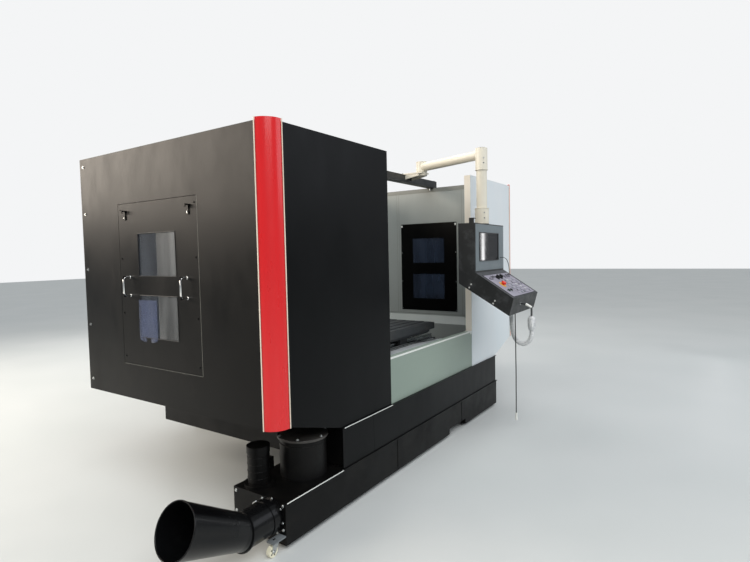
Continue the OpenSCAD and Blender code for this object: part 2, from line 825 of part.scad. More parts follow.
module chip_pan() {
    color(black) {
        difference() {
            union() {
                both_sides() {
                    along_x(pan_x - pan_t, pan_x)
                        polygon([[sheet_t, pan_low], [pan_rear, pan_low], [pan_rear, bend_z - 73],
                                 [fold_d, bend_z - 73], [fold_d, front_low], [sheet_t, front_low]]);
                    along_y(fold_d, column_y - 30)
                        polygon([[pan_x, bend_z - 73], [inner_x + sheet_t, bend_z],
                                 [inner_x, bend_z + 2], [pan_x - pan_t, bend_z - 70]]);
                }
                // Floor, falling forward to the auger
                along_x(-pan_x + 1, pan_x - 1)
                    polygon([[pan_lip_y, 300], [column_y - 30, 380], [column_y - 30, 384], [pan_lip_y, 304]]);
                // Rear wall of the pan
                block([-pan_x + 1, column_y - 34, 300], [pan_x - 1, column_y - 30, bend_z - 73]);
            }
            block([-base_w / 2, base_y, 0], [base_w / 2, base_end, base_top + 400]);
            block([-base_w / 2, column_y - 60, base_top - 1], [base_w / 2, column_y, 1000]);
        }
    }
    color(steel) both_sides()
        along_y(pan_lip_y, column_y - 34)
            polygon([[base_w / 2, base_top - 30], [pan_x - pan_t, 620],
                     [pan_x - pan_t, 624], [base_w / 2, base_top - 26]]);
}

// Front skirt: three black sheets with folded top edges

skirt_low = tank_top;
skirt_right = 1260;
skirt_cuts = [-skirt_x, -910, 800, skirt_right];

module front_skirt() {
    color(black) for (i = [0:2]) {
        x0 = skirt_cuts[i] + 1;
        x1 = skirt_cuts[i + 1] - 1;
        block([x0, 0, skirt_low], [x1, sheet_t, front_low]);
        block([x0, -12, front_low - sheet_t], [x1, 1, front_low]);
    }
}

// Apron under the front opening, with a folded sill

module apron() {
    color(zinc) along_x(-open_x, open_x)
        polygon([[5, front_low], [8, front_low], [8, sill_z - sheet_t],
                 [fold_d - sheet_t, sill_z - sheet_t], [fold_d - sheet_t, cover_top - 60],
                 [fold_d, cover_top - 60], [fold_d, sill_z], [5, sill_z]]);
}

// Front panels: trays that open to the rear, cut off slantwise at the outer lower corner

panel_pts = [[open_x, front_low], [skirt_x, front_low], [panel_x, side_low],
             [panel_x, enc_top], [open_x, enc_top]];

module front_panel() {
    difference() {
        along_y(0, fold_d) polygon(panel_pts);
        along_y(sheet_t, fold_d + 1) polygon(inset(panel_pts, sheet_t));
    }
}

module front_panel_left() {
    color(black) mirror([1, 0, 0]) front_panel();
}

module front_panel_right() {
    color(white) front_panel();
}

// Rounded corner strips between the front and side panels

strip_top = 15;

module strip_outline(r) {
    a = [panel_x, 0];
    b = [half_w, strip_y];
    m = (a + b) / 2;
    c = norm(b - a) / 2;
    u = [-(b - a)[1], (b - a)[0]] / norm(b - a);
    centre = m + u * sqrt(strip_r * strip_r - c * c);
    translate(centre) circle(r = r, $fn = 96);
}

module corner_strips() {
    color(red) both_sides() translate([0, 0, side_low - 5])
        linear_extrude(enc_top + strip_top - side_low + 5)
            intersection() {
                difference() {
                    strip_outline(strip_r);
                    strip_outline(strip_r - 5);
                }
                polygon([[panel_x, 0], [panel_x, -60], [half_w + 60, -60], [half_w + 60, strip_y],
                         [half_w, strip_y]]);
            }
}

// Side panels: one sheet folded over the top and round the rear corner

rear_open_x = 620;
seat_w = 14;

module hatch_window_cuts(x0, x1, y_mid, z_low) {
    for (z = [z_low + win_low, z_low + win_low + win_h + win_bar])
        block([x0, y_mid - win_w / 2, z], [x1, y_mid + win_w / 2, z + win_h]);
}

module side_panel() {
    y0 = hatch_y - hatch_w / 2;
    y1 = hatch_y + hatch_w / 2;
    z0 = hatch_z;
    z1 = hatch_z + hatch_h;
    difference() {
        union() {
            block([half_w - sheet_t, strip_y, side_low], [half_w, enc_d, enc_top]);
            translate([0, 0, enc_top - sheet_t]) linear_extrude(sheet_t)
                polygon([[inner_x, fold_d], [panel_x, fold_d], [half_w - 31, strip_y],
                         [half_w - 1, strip_y], [half_w - 1, enc_d], [inner_x, enc_d]]);
            block([rear_open_x, enc_d - sheet_t, side_low], [half_w - 1, enc_d, enc_top - 1]);
            block([half_w - 30, strip_y, side_low], [half_w - 1, enc_d - 1, side_low + sheet_t]);
            // Folded frame that seats the hatch
            block([half_w - hatch_d - sheet_t, y0 - sheet_t, z0 - sheet_t],
                  [half_w - 1, y1 + sheet_t, z1 + sheet_t]);
        }
        block([half_w - hatch_d, y0, z0], [half_w + 1, y1, z1]);
        block([half_w - 40, y0 + seat_w, z0 + seat_w], [half_w + 1, y1 - seat_w, z1 - seat_w]);
    }
}

module side_panel_left() {
    color(black) mirror([1, 0, 0]) side_panel();
}

module side_panel_right() {
    color(black) side_panel();
}

// Hatch: a tray with two windows, two pull handles and two hooks at its upper corners

pull_r = 6;
pull_out = 45;

module pull_handle() {
    both_ends() rod_x(pull_r, -1, pull_out);
    translate([pull_out, 0, -pull_h / 2]) cylinder(r = pull_r, h = pull_h);
}

module both_ends() {
    for (s = [-1, 1]) translate([0, 0, s * (pull_h / 2 - pull_r)]) children();
}

// A hook bent from flat bar
module hatch_hook() {
    along_y(-10, 10)
        polygon([[-1, -35], [6, -35], [6, 18], [22, 18], [22, 5], [28, 5], [28, 24], [-1, 24]]);
}

module hatch() {
    y0 = hatch_y - hatch_w / 2 + hatch_gap;
    y1 = hatch_y + hatch_w / 2 - hatch_gap;
    z0 = hatch_z + hatch_gap;
    z1 = hatch_z + hatch_h - hatch_gap;
    difference() {
        block([half_w - hatch_d, y0, z0], [half_w, y1, z1]);
        block([half_w - hatch_d - 1, y0 + sheet_t, z0 + sheet_t],
              [half_w - sheet_t, y1 - sheet_t, z1 - sheet_t]);
        hatch_window_cuts(half_w - sheet_t - 1, half_w + 1, hatch_y, hatch_z);
    }
    for (y = [hatch_y - 290, hatch_y + 290])
        translate([half_w, y, hatch_z + 505]) pull_handle();
    for (y = [hatch_y - 320, hatch_y + 320])
        translate([half_w, y, hatch_z + 960]) hatch_hook();
}

module left_hatch() {
    color(black) mirror([1, 0, 0]) hatch();
}

module right_hatch() {
    color(black) hatch();
}

// Panes behind a pair of windows
module panes(x0, y_mid, z_low) {
    for (z = [z_low + win_low, z_low + win_low + win_h + win_bar])
        block([x0, y_mid - win_w / 2 - 18, z - 18], [x0 + pane_t, y_mid + win_w / 2 + 18, z + win_h + 18]);
}

module left_hatch_windows() {
    color(glass, 0.5) mirror([1, 0, 0]) panes(half_w - sheet_t - pane_t, hatch_y, hatch_z);
}

module right_hatch_windows() {
    color(glass, 0.5) panes(half_w - sheet_t - pane_t, hatch_y, hatch_z);
}

// Inner walls, with a cut-out behind each inner hatch

wall_rear = column_y - 30;

module inner_wall() {
    y0 = inner_hatch_y - inner_hatch_w / 2 + 22;
    y1 = inner_hatch_y + inner_hatch_w / 2 - 22;
    difference() {
        union() {
            block([inner_x, sheet_t, bend_z + 2], [inner_x + sheet_t, wall_rear, enc_top - sheet_t]);
            // Folded front edge behind the front panel
            block([inner_x, sheet_t, bend_z + 2], [inner_x + 60, 2 * sheet_t, enc_top - sheet_t]);
            // Folded rear edge that meets the rear wall
            block([inner_x, wall_rear - sheet_t, bend_z + 2],
                  [inner_x + 60, wall_rear, enc_top - sheet_t]);
        }
        block([inner_x - 1, y0, inner_hatch_z + 22], [inner_x + sheet_t + 1, y1, inner_hatch_z + inner_hatch_h - 22]);
    }
}

module inner_wall_left() {
    color(liner) mirror([1, 0, 0]) inner_wall();
}

module inner_wall_right() {
    color(liner) inner_wall();
}

inner_win_low = (inner_hatch_h - 2 * win_h - win_bar) / 2 - 15;

module inner_hatches() {
    y0 = inner_hatch_y - inner_hatch_w / 2;
    y1 = inner_hatch_y + inner_hatch_w / 2;
    z1 = inner_hatch_z + inner_hatch_h;
    color(black) both_sides() difference() {
        union() {
            block([inner_x - sheet_t, y0, inner_hatch_z], [inner_x, y1, z1]);
            // Heads of the screws along the edges
            for (y = [y0 + 12, y1 - 12], z = [inner_hatch_z + 40:215:z1 - 30])
                translate([0, y, z]) rod_x(7, inner_x - sheet_t - 4, inner_x - sheet_t + 1);
        }
        translate([0, 0, inner_win_low - win_low])
            hatch_window_cuts(inner_x - sheet_t - 1, inner_x + 1, inner_hatch_y, inner_hatch_z);
    }
}

module inner_windows() {
    color(glass, 0.5) both_sides() translate([0, 0, inner_win_low - win_low])
        panes(inner_x, inner_hatch_y, inner_hatch_z);
}

// Rear wall of the work space, on both sides of the column

slot_x = column_w / 2 + 60;

module rear_wall() {
    color(liner) both_sides() {
        block([slot_x, wall_rear, bend_z - 73], [inner_x + 60, wall_rear + sheet_t, enc_top - sheet_t]);
        block([slot_x, wall_rear + sheet_t - 1, bend_z], [slot_x + sheet_t, column_y, enc_top - sheet_t]);
    }
}

// Beam across the open top

beam_y = 715;
beam_w = 80;
beam_h = 70;

module roof_beam() {
    color("#3b3e40") difference() {
        block([-inner_x - 60, beam_y - beam_w / 2, enc_top], [inner_x + 60, beam_y + beam_w / 2, enc_top + beam_h]);
        block([-inner_x - 61, beam_y - beam_w / 2 + 4, enc_top + 4],
              [inner_x + 61, beam_y + beam_w / 2 - 4, enc_top + beam_h - 4]);
    }
}

// Coolant tank, with the auger's trough along its front

tank_y = 0;
trough_left = -skirt_x + 20;
trough_right = tank_right - 40;
auger_shaft_r = 24;

module coolant_tank() {
    color(black) difference() {
        union() {
            block([-tank_left, tank_y, tank_low], [tank_right, tank_y + tank_d, tank_top - 4]);
            // Flanged rim
            block([-tank_left, tank_y - 8, tank_top - 5], [tank_right + 8, tank_y + tank_d, tank_top]);
            // Gear motor of the auger
            block([tank_right - 1, auger_y - 52, auger_z - 60], [tank_right + 60, auger_y + 52, auger_z + 60]);
            translate([0, auger_y, auger_z]) rod_x(42, tank_right + 59, tank_right + 150);
            // Skids
            for (x = [-900, 0, 900, tank_right - 60], y = [40, tank_d - 80])
                block([x, tank_y + y, 0], [x + 50, tank_y + y + 40, tank_low + 1]);
            // Pump motor and its flange
            translate([-tank_left + 100, tank_y + 300, tank_top - 1]) {
                cylinder(r = 85, h = 15);
                cylinder(r = 62, h = 190);
                translate([0, 0, 186]) cylinder(r = 66, h = 40);
                translate([40, -25, 60]) cube([55, 50, 70]);
            }
        }
        // Trough, round at the bottom and open at the top
        translate([0, auger_y, auger_z]) rod_x(trough_r, -tank_left - 1, trough_right);
        block([trough_left, auger_y - trough_r, auger_z], [trough_right, auger_y + trough_r, tank_top + 1]);
        // Bearing of the auger's shaft
        translate([0, auger_y, auger_z]) rod_x(auger_shaft_r + 0.05, trough_right - 1, tank_right);
        // Lift arch in the underside
        block([210, tank_y - 1, -1], [530, tank_y + tank_d + 1, tank_low + 45]);
    }
}

// Casters at the pulled-out end of the tank

caster_x = -tank_left - 60;
caster_ys = [28, tank_d - 28];
stem_r = 8;
trail = -18;
caster_plate_z = 2 * wheel_r + 12;
wheel_w = 22;
crown_z = 2 * wheel_r + 3;
cheek_y = wheel_w / 2 + 2;

module caster_fork(y) {
    color(steel) translate([caster_x, tank_y + y, 0]) difference() {
        union() {
            translate([0, 0, crown_z]) cylinder(r = stem_r, h = caster_plate_z + 12 - crown_z);
            translate([0, 0, crown_z]) cylinder(r = 21, h = caster_plate_z - run_gap - crown_z);
            // Two cheeks beside the wheel
            for (s = [-1, 1])
                along_y(s * cheek_y - 1.5, s * cheek_y + 1.5)
                    polygon([[-22, crown_z + 4], [trail - 11, wheel_r - 8], [trail + 11, wheel_r - 8],
                             [22, crown_z + 4]]);
            translate([-22, -cheek_y - 1.5, crown_z]) cube([44, 2 * cheek_y + 3, 4]);
        }
        translate([trail, 0, wheel_r]) rod_y(4, -wheel_w, wheel_w);
    }
}

module caster_wheel(y) {
    color("#e6e2c8") translate([caster_x + trail, tank_y + y, wheel_r]) {
        rod_y(wheel_r, -wheel_w / 2, wheel_w / 2);
        rod_y(3.95, -wheel_w / 2 - 4, wheel_w / 2 + 4);
    }
}

module caster_fork_front() {
    caster_fork(caster_ys[0]);
}

module caster_wheel_front() {
    caster_wheel(caster_ys[0]);
}

module caster_fork_rear() {
    caster_fork(caster_ys[1]);
}

module caster_wheel_rear() {
    caster_wheel(caster_ys[1]);
}

// Filter pot with a round lid, on the tank's left end

pot_x = -1385;
pot_y = 190;

module filter_pot() {
    color("#3a3c3e") translate([pot_x, pot_y, tank_top]) cylinder(r = 138, h = 222);
    color("#8a8c8c") translate([pot_x, pot_y, tank_top + 222]) {
        cylinder(r = 150, h = 14);
        for (a = [30:60:330])
            rotate([0, 0, a]) translate([141, 0, 13]) cylinder(r = 5, h = 5);
    }
}

// Discharge spout: collar, straight tube, mitre and flared cone

spout_t = 3;
seam_t = 6;
tube_end = -tank_left - spout_run;
cone_tilt = atan(spout_rise / spout_reach);
cone_l = norm([spout_rise, spout_reach]);
// Straight neck beyond the mitre, long enough to hold the whole slanted joint
neck_l = 30;

// Children drawn round the middle of the mitre, with x square to its plane
module at_mitre() {
    translate([tube_end, auger_y, auger_z]) rotate([0, cone_tilt / 2, 0]) children();
}

// Everything on the cone's side of the mitre, or on the tube's side, and a little past it
module mitre_side(cone_side, past) {
    at_mitre() translate([cone_side ? past - 2000 : -past, -1000, -1000]) cube(2000);
}

module spout_solid(d, past) {
    intersection() {
        translate([0, auger_y, auger_z]) rod_x(spout_r - d, tube_end - 60, -tank_left + (d > 0 ? 1 : 0));
        mitre_side(false, past);
    }
    intersection() {
        translate([tube_end, auger_y, auger_z]) rotate([0, cone_tilt, 0]) {
            translate([-neck_l, 0, 0]) rotate([0, -90, 0])
                cylinder(r1 = spout_r - d, r2 = mouth_r - d, h = cone_l - neck_l + (d > 0 ? 1 : 0));
            rod_x(spout_r - d, -neck_l, 60);
        }
        mitre_side(true, past);
    }
}

module discharge_spout() {
    color(black) difference() {
        union() {
            spout_solid(0, seam_t / 4);
            // Flange along the mitre
            at_mitre() rod_x(spout_r + 8, -seam_t / 2, seam_t / 2);
            // Bolted collar and clamping band
            translate([0, auger_y, auger_z]) rod_x(spout_r + 10, -tank_left - 6, -tank_left);
            translate([0, auger_y, auger_z]) rod_x(spout_r + 4, -tank_left - 60, -tank_left - 30);
        }
        spout_solid(spout_t, seam_t);
    }
}

// Chip auger: a round shaft with a helical flight

auger_left = -tank_left - spout_run + 30;
auger_right = tank_right - run_gap;
auger_len = auger_right - auger_left;

flight_t = 8;
flight_steps = 12;

// The flight is a thin sector of a ring, turned as it runs along the shaft
module auger_flight(l) {
    half = flight_t / auger_pitch * 180;
    linear_extrude(l, twist = -360 * l / auger_pitch, slices = round(l / auger_pitch * flight_steps), $fn = 4)
        polygon([for (c = [[-1, auger_shaft_r - 2], [-1, auger_r], [1, auger_r], [1, auger_shaft_r - 2]])
            c[1] * [cos(c[0] * half), sin(c[0] * half)]]);
}

module chip_auger() {
    color("#8b8f90") translate([auger_left, auger_y, auger_z]) rotate([0, 90, 0]) {
        cylinder(r = auger_shaft_r, h = auger_len);
        translate([0, 0, 10]) auger_flight(auger_len - 80);
    }
}

// Electrical cabinet behind the column

cab_w = 1240;
cab_d = 350;
cab_low = 420;
cab_h = 1600;
door_t = 22;
hinge_x = -cab_w / 2 - 9;
hinge_y = base_end + cab_d + run_gap + door_t / 2;

module on_hinges() {
    for (z = [cab_low + 200, cab_low + cab_h - 200]) translate([hinge_x, hinge_y, z]) children();
}

module electrical_cabinet() {
    color("#c6c8c4") difference() {
        block([-cab_w / 2, base_end, cab_low], [cab_w / 2, base_end + cab_d, cab_low + cab_h]);
        block([-cab_w / 2 + sheet_t, base_end + 30, cab_low + sheet_t],
              [cab_w / 2 - sheet_t, base_end + cab_d + 1, cab_low + cab_h - sheet_t]);
    }
    // Fixed knuckles of the door's hinges, with their pins
    color(steel) on_hinges() translate([0, 0, -40]) {
        cylinder(r = 8, h = 40 - run_gap);
        cylinder(r = 3, h = 78);
        translate([-3, -61, 0]) cube([6, 61, 40 - run_gap]);
        translate([-3, -61, 0]) cube([13, 45, 40 - run_gap]);
    }
    // Fan cowl on the left flank
    color("#55585a") block([-cab_w / 2 - 40, base_end + 90, cab_low + cab_h - 420],
                           [-cab_w / 2, base_end + 270, cab_low + cab_h - 240]);
}

module cabinet_door() {
    y = base_end + cab_d + run_gap;
    color("#c6c8c4") {
        difference() {
            block([-cab_w / 2, y, cab_low], [cab_w / 2, y + door_t, cab_low + cab_h]);
            block([-cab_w / 2 + 40, y - 1, cab_low + 40], [cab_w / 2 - 40, y + door_t - sheet_t, cab_low + cab_h - 40]);
        }
        on_hinges() difference() {
            union() {
                cylinder(r = 8, h = 40);
                translate([0, -3, 0]) cube([12, 6, 40]);
            }
            translate([0, 0, -1]) cylinder(r = 3.05, h = 42);
        }
        // Handle bar beside the door's free edge
        for (z = [cab_low + 760, cab_low + 900])
            block([cab_w / 2 - 90, y + door_t - 1, z], [cab_w / 2 - 70, y + door_t + 34, z + 20]);
        block([cab_w / 2 - 90, y + door_t + 22, cab_low + 740], [cab_w / 2 - 70, y + door_t + 34, cab_low + 940]);
    }
}

// Boom that carries the pendant

boom_dx = pendant_x - boom_x;
boom_dy = -pendant_y - boom_y;
boom_len = norm([boom_dx, boom_dy]);
boom_yaw = atan2(boom_dy, boom_dx);
beam_top = enc_top + beam_h;
boom_z = beam_top + boom_rise;
pivot_r = 30;
hub_wall = 22;
post_low = beam_top - 20;
post_top = beam_top + 16;

// Bracket that reaches forward from the beam, with the boom's pivot housing
module boom_post() {
    color(cream) difference() {
        union() {
            block([boom_x - 70, boom_y - 40, beam_top], [boom_x + 70, beam_y + beam_w / 2, beam_top + 10]);
            translate([boom_x, boom_y, post_low]) cylinder(r = pivot_r + hub_wall, h = post_top - post_low);
            for (s = [-1, 1])
                along_x(boom_x + s * 60 - 5, boom_x + s * 60 + 5)
                    polygon([[boom_y, beam_top + 1], [boom_y, beam_top - 20],
                             [beam_y - beam_w / 2, beam_top - 45], [beam_y - beam_w / 2, beam_top + 1]]);
        }
        translate([boom_x, boom_y, post_low - 1]) cylinder(r = pivot_r + 0.05, h = 60);
        for (x = [-50, 50]) translate([boom_x + x, beam_y, beam_top - 1]) cylinder(r = 7, h = 14);
    }
}

drop_low = pendant_top + 8;
collar_h = 130;
socket_h = 125;

module boom_arm() {
    color(cream) difference() {
        union() {
            // Hub, and the pivot under it
            translate([boom_x, boom_y, post_top + run_gap])
                cylinder(r = pivot_r + hub_wall, h = boom_z + boom_d / 2 + 12 - post_top);
            translate([boom_x, boom_y, post_low]) cylinder(r = pivot_r, h = 60);
            translate([boom_x, boom_y, boom_z]) rotate([0, 90, boom_yaw])
                cylinder(d = boom_d, h = boom_len);
            // Elbow socket, drop tube and lower collar
            translate([pendant_x, -pendant_y, boom_z + boom_d / 2 + 12 - socket_h - 60])
                cylinder(d = drop_d + 12, h = socket_h + 60);
            translate([pendant_x, -pendant_y, drop_low + 60])
                cylinder(d = drop_d, h = boom_z - drop_low - 60);
            translate([pendant_x, -pendant_y, drop_low]) cylinder(d = drop_d + 28, h = collar_h);
        }
        // Socket for the pendant's swivel stub
        translate([pendant_x, -pendant_y, drop_low - 1]) cylinder(r = stub_r + 0.05, h = 52);
    }
}

// Pendant: a wedge-shaped housing with an upright screen face and a sloping keyboard

stub_r = 32;
face_y = -(pendant_d - 55);
key_end_y = face_y - key_run;
key_end_z = pendant_top - face_h - key_fall;
key_slope = atan(key_fall / key_run);
key_len = norm([key_run, key_fall]);
under_z = pendant_top - rear_h;

under_grade = 0.6;
shell_t = 4;
pendant_left = pendant_w - pendant_right;

// Height of the pendant's underside at a distance y along its depth
function under_at(y) = under_z - (55 - y) * under_grade;

pendant_pts = [[55, pendant_top], [face_y, pendant_top], [face_y, pendant_top - face_h],
               [key_end_y, key_end_z],
               [key_end_y + 35, under_at(key_end_y + 35)],
               [55, under_z]];

// Children drawn round the drop tube's axis, turned with the pendant
module on_pendant() {
    translate([pendant_x, -pendant_y, 0]) rotate([0, 0, pendant_yaw]) children();
}

// Children drawn flat on the keyboard slope: x across, y up the slope, z out of it
module on_slope() {
    on_pendant() translate([0, key_end_y, key_end_z]) rotate([key_slope, 0, 0]) children();
}

module pendant_housing() {
    color("#2e3032") {
        difference() {
            on_pendant() along_x(-pendant_left, pendant_right) polygon(pendant_pts);
            // Hollow inside, open behind the face plate and under the key sheet
            on_pendant() along_x(-pendant_left + shell_t, pendant_right - shell_t) polygon([
                [55 - shell_t, pendant_top - shell_t], [face_y + shell_t, pendant_top - shell_t],
                [face_y + shell_t, pendant_top - face_h - shell_t], [key_end_y + 8, key_end_z - 2],
                [key_end_y + 38, under_at(key_end_y + 38) + 5], [55 - shell_t, under_z + shell_t]]);
            on_pendant() block([-pendant_left + 20, face_y - 1, pendant_top - face_h + 30],
                               [pendant_right - 20, face_y + shell_t + 1, pendant_top - 20]);
            on_slope() translate([-pendant_left + 60, 28, -40]) cube([pendant_w - 120, key_len - 90, 60]);
        }
        on_pendant() translate([0, 0, pendant_top - 1]) {
            cylinder(r = stub_r, h = 54);
            cylinder(r = 58, h = 1 + 8 - run_gap);
        }
        // Bracket on the left of the top face
        on_pendant() {
            block([-pendant_left + 40, -60, pendant_top - 1], [-pendant_left + 46, -20, pendant_top + 42]);
            block([-pendant_left + 40, -60, pendant_top + 36], [-pendant_left + 90, -20, pendant_top + 42]);
        }
        // Cable glands under the slope, and the hand unit's hook
        on_pendant() {
            for (g = glands) translate([g[0], g[1], g[2]]) cylinder(r = g[3], h = 45);
            // Grommet where the thin lead enters the slope
            translate(face_lead_end - [0, 0, grommet_h]) cylinder(d = 2 * face_lead_d, h = grommet_h);
            block([hand_x - 20, hand_y - 3, hand_top - 1], [hand_x + 20, hand_y + 3, under_at(hand_y) + 5]);
        }
    }
}

// Cross, along and shaft radius of each control on the slope
estop_at = [-212, 168, 11];
feed_at = [-121, 256, 5];
spindle_at = [-44, 256, 5];
start_at = [-271, 89, 9];
stop_at = [-212, 89, 9];
control_places = [estop_at, feed_at, spindle_at, start_at, stop_at];

module pendant_face() {
    color("#7d868a") on_pendant() difference() {
        block([-pendant_left + 8, face_y - 2, pendant_top - face_h + 12],
              [pendant_right - 8, face_y, pendant_top - 8]);
        block([-screen_w / 2 + screen_x, face_y - 3, screen_z],
              [screen_w / 2 + screen_x, face_y + 1, screen_z + screen_h]);
    }
}

screen_w = 450;
screen_h = 220;
screen_x = -72;
screen_z = pendant_top - 297;

module pendant_screen() {
    color("#0b0c0e") on_pendant()
        block([-screen_w / 2 + screen_x, face_y - 1, screen_z],
              [screen_w / 2 + screen_x, face_y, screen_z + screen_h]);
}

// Keyboard panel with its fixed keys
module key_panel() {
    color("#b9b6c4") on_slope() difference() {
        union() {
            translate([-pendant_left + 50, 18, 0]) cube([pendant_w - 100, key_len - 70, 3]);
            for (i = [0:10], j = [0:5])
                translate([i * 32 - 130, 32 + j * 33, 3 - eps]) cube([22, 22, 3]);
            // Fixed selector knobs along the upper edge
            for (u = [-290, -252, 70, 120, 170])
                translate([u, 256, 3 - eps]) cylinder(r = 11, h = 18);
        }
        for (p = control_places)
            translate([p[0], p[1], -1]) cylinder(r = p[2] + 0.05, h = 10);
    }
}

module estop_button() {
    color(red) on_slope() translate([estop_at[0], estop_at[1], 0]) {
        translate([0, 0, -25]) cylinder(r = estop_at[2], h = 45);
        translate([0, 0, 14]) cylinder(r = 20, h = 12);
        translate([0, 0, 26 - eps]) cylinder(r1 = 20, r2 = 15, h = 5);
    }
}

// A pointer knob on a thin shaft
module knob(at) {
    on_slope() translate([at[0], at[1], 0]) {
        translate([0, 0, -30]) cylinder(r = at[2], h = 40);
        translate([0, 0, 3.3]) cylinder(r = 19, h = 8);
        translate([0, 0, 11]) cylinder(r = 15, h = 16);
        translate([-3, 8, 11]) cube([6, 11, 17]);
    }
}

module feed_knob() {
    color(black) knob(feed_at);
}

module spindle_knob() {
    color(black) knob(spindle_at);
}

// A round push button on a plunger
module push_button(at) {
    on_slope() translate([at[0], at[1], -16]) {
        cylinder(r = at[2], h = 26);
        translate([0, 0, 25]) cylinder(r = 13, h = 5);
    }
}

module start_button() {
    color("#1d9e8b") push_button(start_at);
}

module stop_button() {
    color(black) push_button(stop_at);
}

// Wrapped hand unit that hangs from a hook under the keyboard's right end

hand_x = 262;
hand_y = key_end_y + 42;
hand_top = 985;

module hand_unit() {
    color(white) on_pendant() difference() {
        translate([hand_x, hand_y, hand_top - 125]) linear_extrude(125)
            polygon(rounded(84, 62, 18));
        block([hand_x - 21, hand_y - 4, hand_top - 1], [hand_x + 21, hand_y + 4, hand_top + 1]);
    }
}

// A rectangle with round corners, centred, as points
function rounded(w, d, r) =
    [for (c = [[1, 1, 0], [-1, 1, 90], [-1, -1, 180], [1, -1, 270]], a = [0:30:90])
        [c[0] * (w / 2 - r) + r * cos(c[2] + a), c[1] * (d / 2 - r) + r * sin(c[2] + a)]];

// Cords

// Hand unit cable, round the drop tube's axis: out of the gland, down, and up again
hand_cable_pts = [
    [262, -164, 1130], [262, -164, 1090], [262, -165, 1040], [262, -166, 980],
    [262, -168, 920], [262, -173, 860], [262, -186, 805], [262, -211, 762],
    [262, -248, 738], [262, -290, 740], [262, -322, 765], [262, -338, 800],
    [262, -343, 832], [262, -343, 860]
];
hand_cable_d = 26;

// Data cable, round the drop tube's axis: straight down to its plug
data_cable_pts = [
    [214, -214, 1100], [214, -214, 1040], [215, -214, 960], [217, -215, 860],
    [219, -216, 760], [220, -216, 660], [220, -217, 560], [219, -218, 460],
    [217, -218, 360], [215, -219, 260], [214, -219, 190], [214, -219, 130]
];
data_cable_d = 9;

// Thin lead from the lower right of the face down to the slope's right edge
face_lead_pts = [
    [208, -87, 1494], [208, -92, 1494], [211, -104, 1495], [220, -118, 1492], [234, -131, 1481],
    [250, -138, 1462], [265, -141, 1438], [276, -142, 1414], [284, -142, 1388],
    [286, -142, 1366], [286, -142, 1354]
];
face_lead_d = 5;
face_lead_end = face_lead_pts[len(face_lead_pts) - 1];

grommet_h = 11;
glands = [
    [hand_cable_pts[0][0], hand_cable_pts[0][1], hand_cable_pts[0][2], 19],
    [data_cable_pts[0][0], data_cable_pts[0][1], data_cable_pts[0][2], 9]
];

// A tube of radius r along the points, closed at both ends
module cord_tube(pts, r, sides) {
    n = len(pts);
    rings = [for (i = [0:n - 1])
        let (
            t = pts[min(i + 1, n - 1)] - pts[max(i - 1, 0)],
            w = t / norm(t),
            v = cross(w, [1, 0, 0]) / norm(cross(w, [1, 0, 0])),
            u = cross(v, w)
        )
        for (k = [0:sides - 1])
            pts[i] + r * (cos(k * 360 / sides) * u + sin(k * 360 / sides) * v)];
    walls = [for (i = [0:n - 2], k = [0:sides - 1])
        let (a = i * sides + k, b = i * sides + (k + 1) % sides)
        each [[a, b, b + sides], [a, b + sides, a + sides]]];
    start = [[for (k = [sides - 1:-1:0]) k]];
    end = [[for (k = [0:sides - 1]) (n - 1) * sides + k]];
    polyhedron(rings, concat(walls, start, end));
}

module hand_unit_cable() {
    color(white) on_pendant() cord_tube(hand_cable_pts, hand_cable_d / 2, 10);
}

module data_cable() {
    color(black) on_pendant() {
        cord_tube(data_cable_pts, data_cable_d / 2, 8);
        cord_tube(face_lead_pts, face_lead_d / 2, 8);
    }
}

module data_plug() {
    p = data_cable_pts[len(data_cable_pts) - 1];
    color(white) on_pendant() translate([p[0], p[1], p[2] - 62]) {
        translate([0, 0, 22]) cylinder(r = 9, h = 40);
        cylinder(r = 12, h = 22);
    }
}

// Draws a piece where the whole object, or that piece alone, is asked for
module show(name) {
    placed() children();
}

show("levelling_feet") levelling_feet();
show("base_casting") base_casting();
show("guide_rails") guide_rails();
show("axis_motors") axis_motors();
show("column") column();
show("magazine_housing") magazine_housing();
show("way_cover_1") way_cover_1();
show("chip_pan") chip_pan();
show("front_skirt") front_skirt();
show("apron") apron();
show("front_panel_left") front_panel_left();
show("front_panel_right") front_panel_right();
show("side_panel_left") side_panel_left();
show("side_panel_right") side_panel_right();
show("corner_strips") corner_strips();
show("inner_wall_left") inner_wall_left();
show("inner_wall_right") inner_wall_right();
show("inner_hatches") inner_hatches();
show("inner_windows") inner_windows();
show("rear_wall") rear_wall();
show("roof_beam") roof_beam();
show("coolant_tank") coolant_tank();
show("filter_pot") filter_pot();
show("discharge_spout") discharge_spout();
show("electrical_cabinet") electrical_cabinet();
show("boom_post") boom_post();
show("saddle") saddle();
show("saddle_rails") saddle_rails();
show("saddle_covers") saddle_covers();
show("way_cover_2") way_cover_2();
show("table") table();
show("spindle_head") spindle_head();
show("spindle_motor") spindle_motor();
show("spindle") spindle();
show("magazine_disc") magazine_disc();
show("change_arm") change_arm();
show("chip_auger") chip_auger();
show("left_hatch") left_hatch();
show("left_hatch_windows") left_hatch_windows();
show("right_hatch") right_hatch();
show("right_hatch_windows") right_hatch_windows();
show("boom_arm") boom_arm();
show("pendant_housing") pendant_housing();
show("pendant_face") pendant_face();
show("pendant_screen") pendant_screen();
show("key_panel") key_panel();
show("estop_button") estop_button();
show("feed_knob") feed_knob();
show("spindle_knob") spindle_knob();
show("start_button") start_button();
show("stop_button") stop_button();
show("caster_fork_front") caster_fork_front();
show("caster_wheel_front") caster_wheel_front();
show("caster_fork_rear") caster_fork_rear();
show("caster_wheel_rear") caster_wheel_rear();
show("hand_unit") hand_unit();
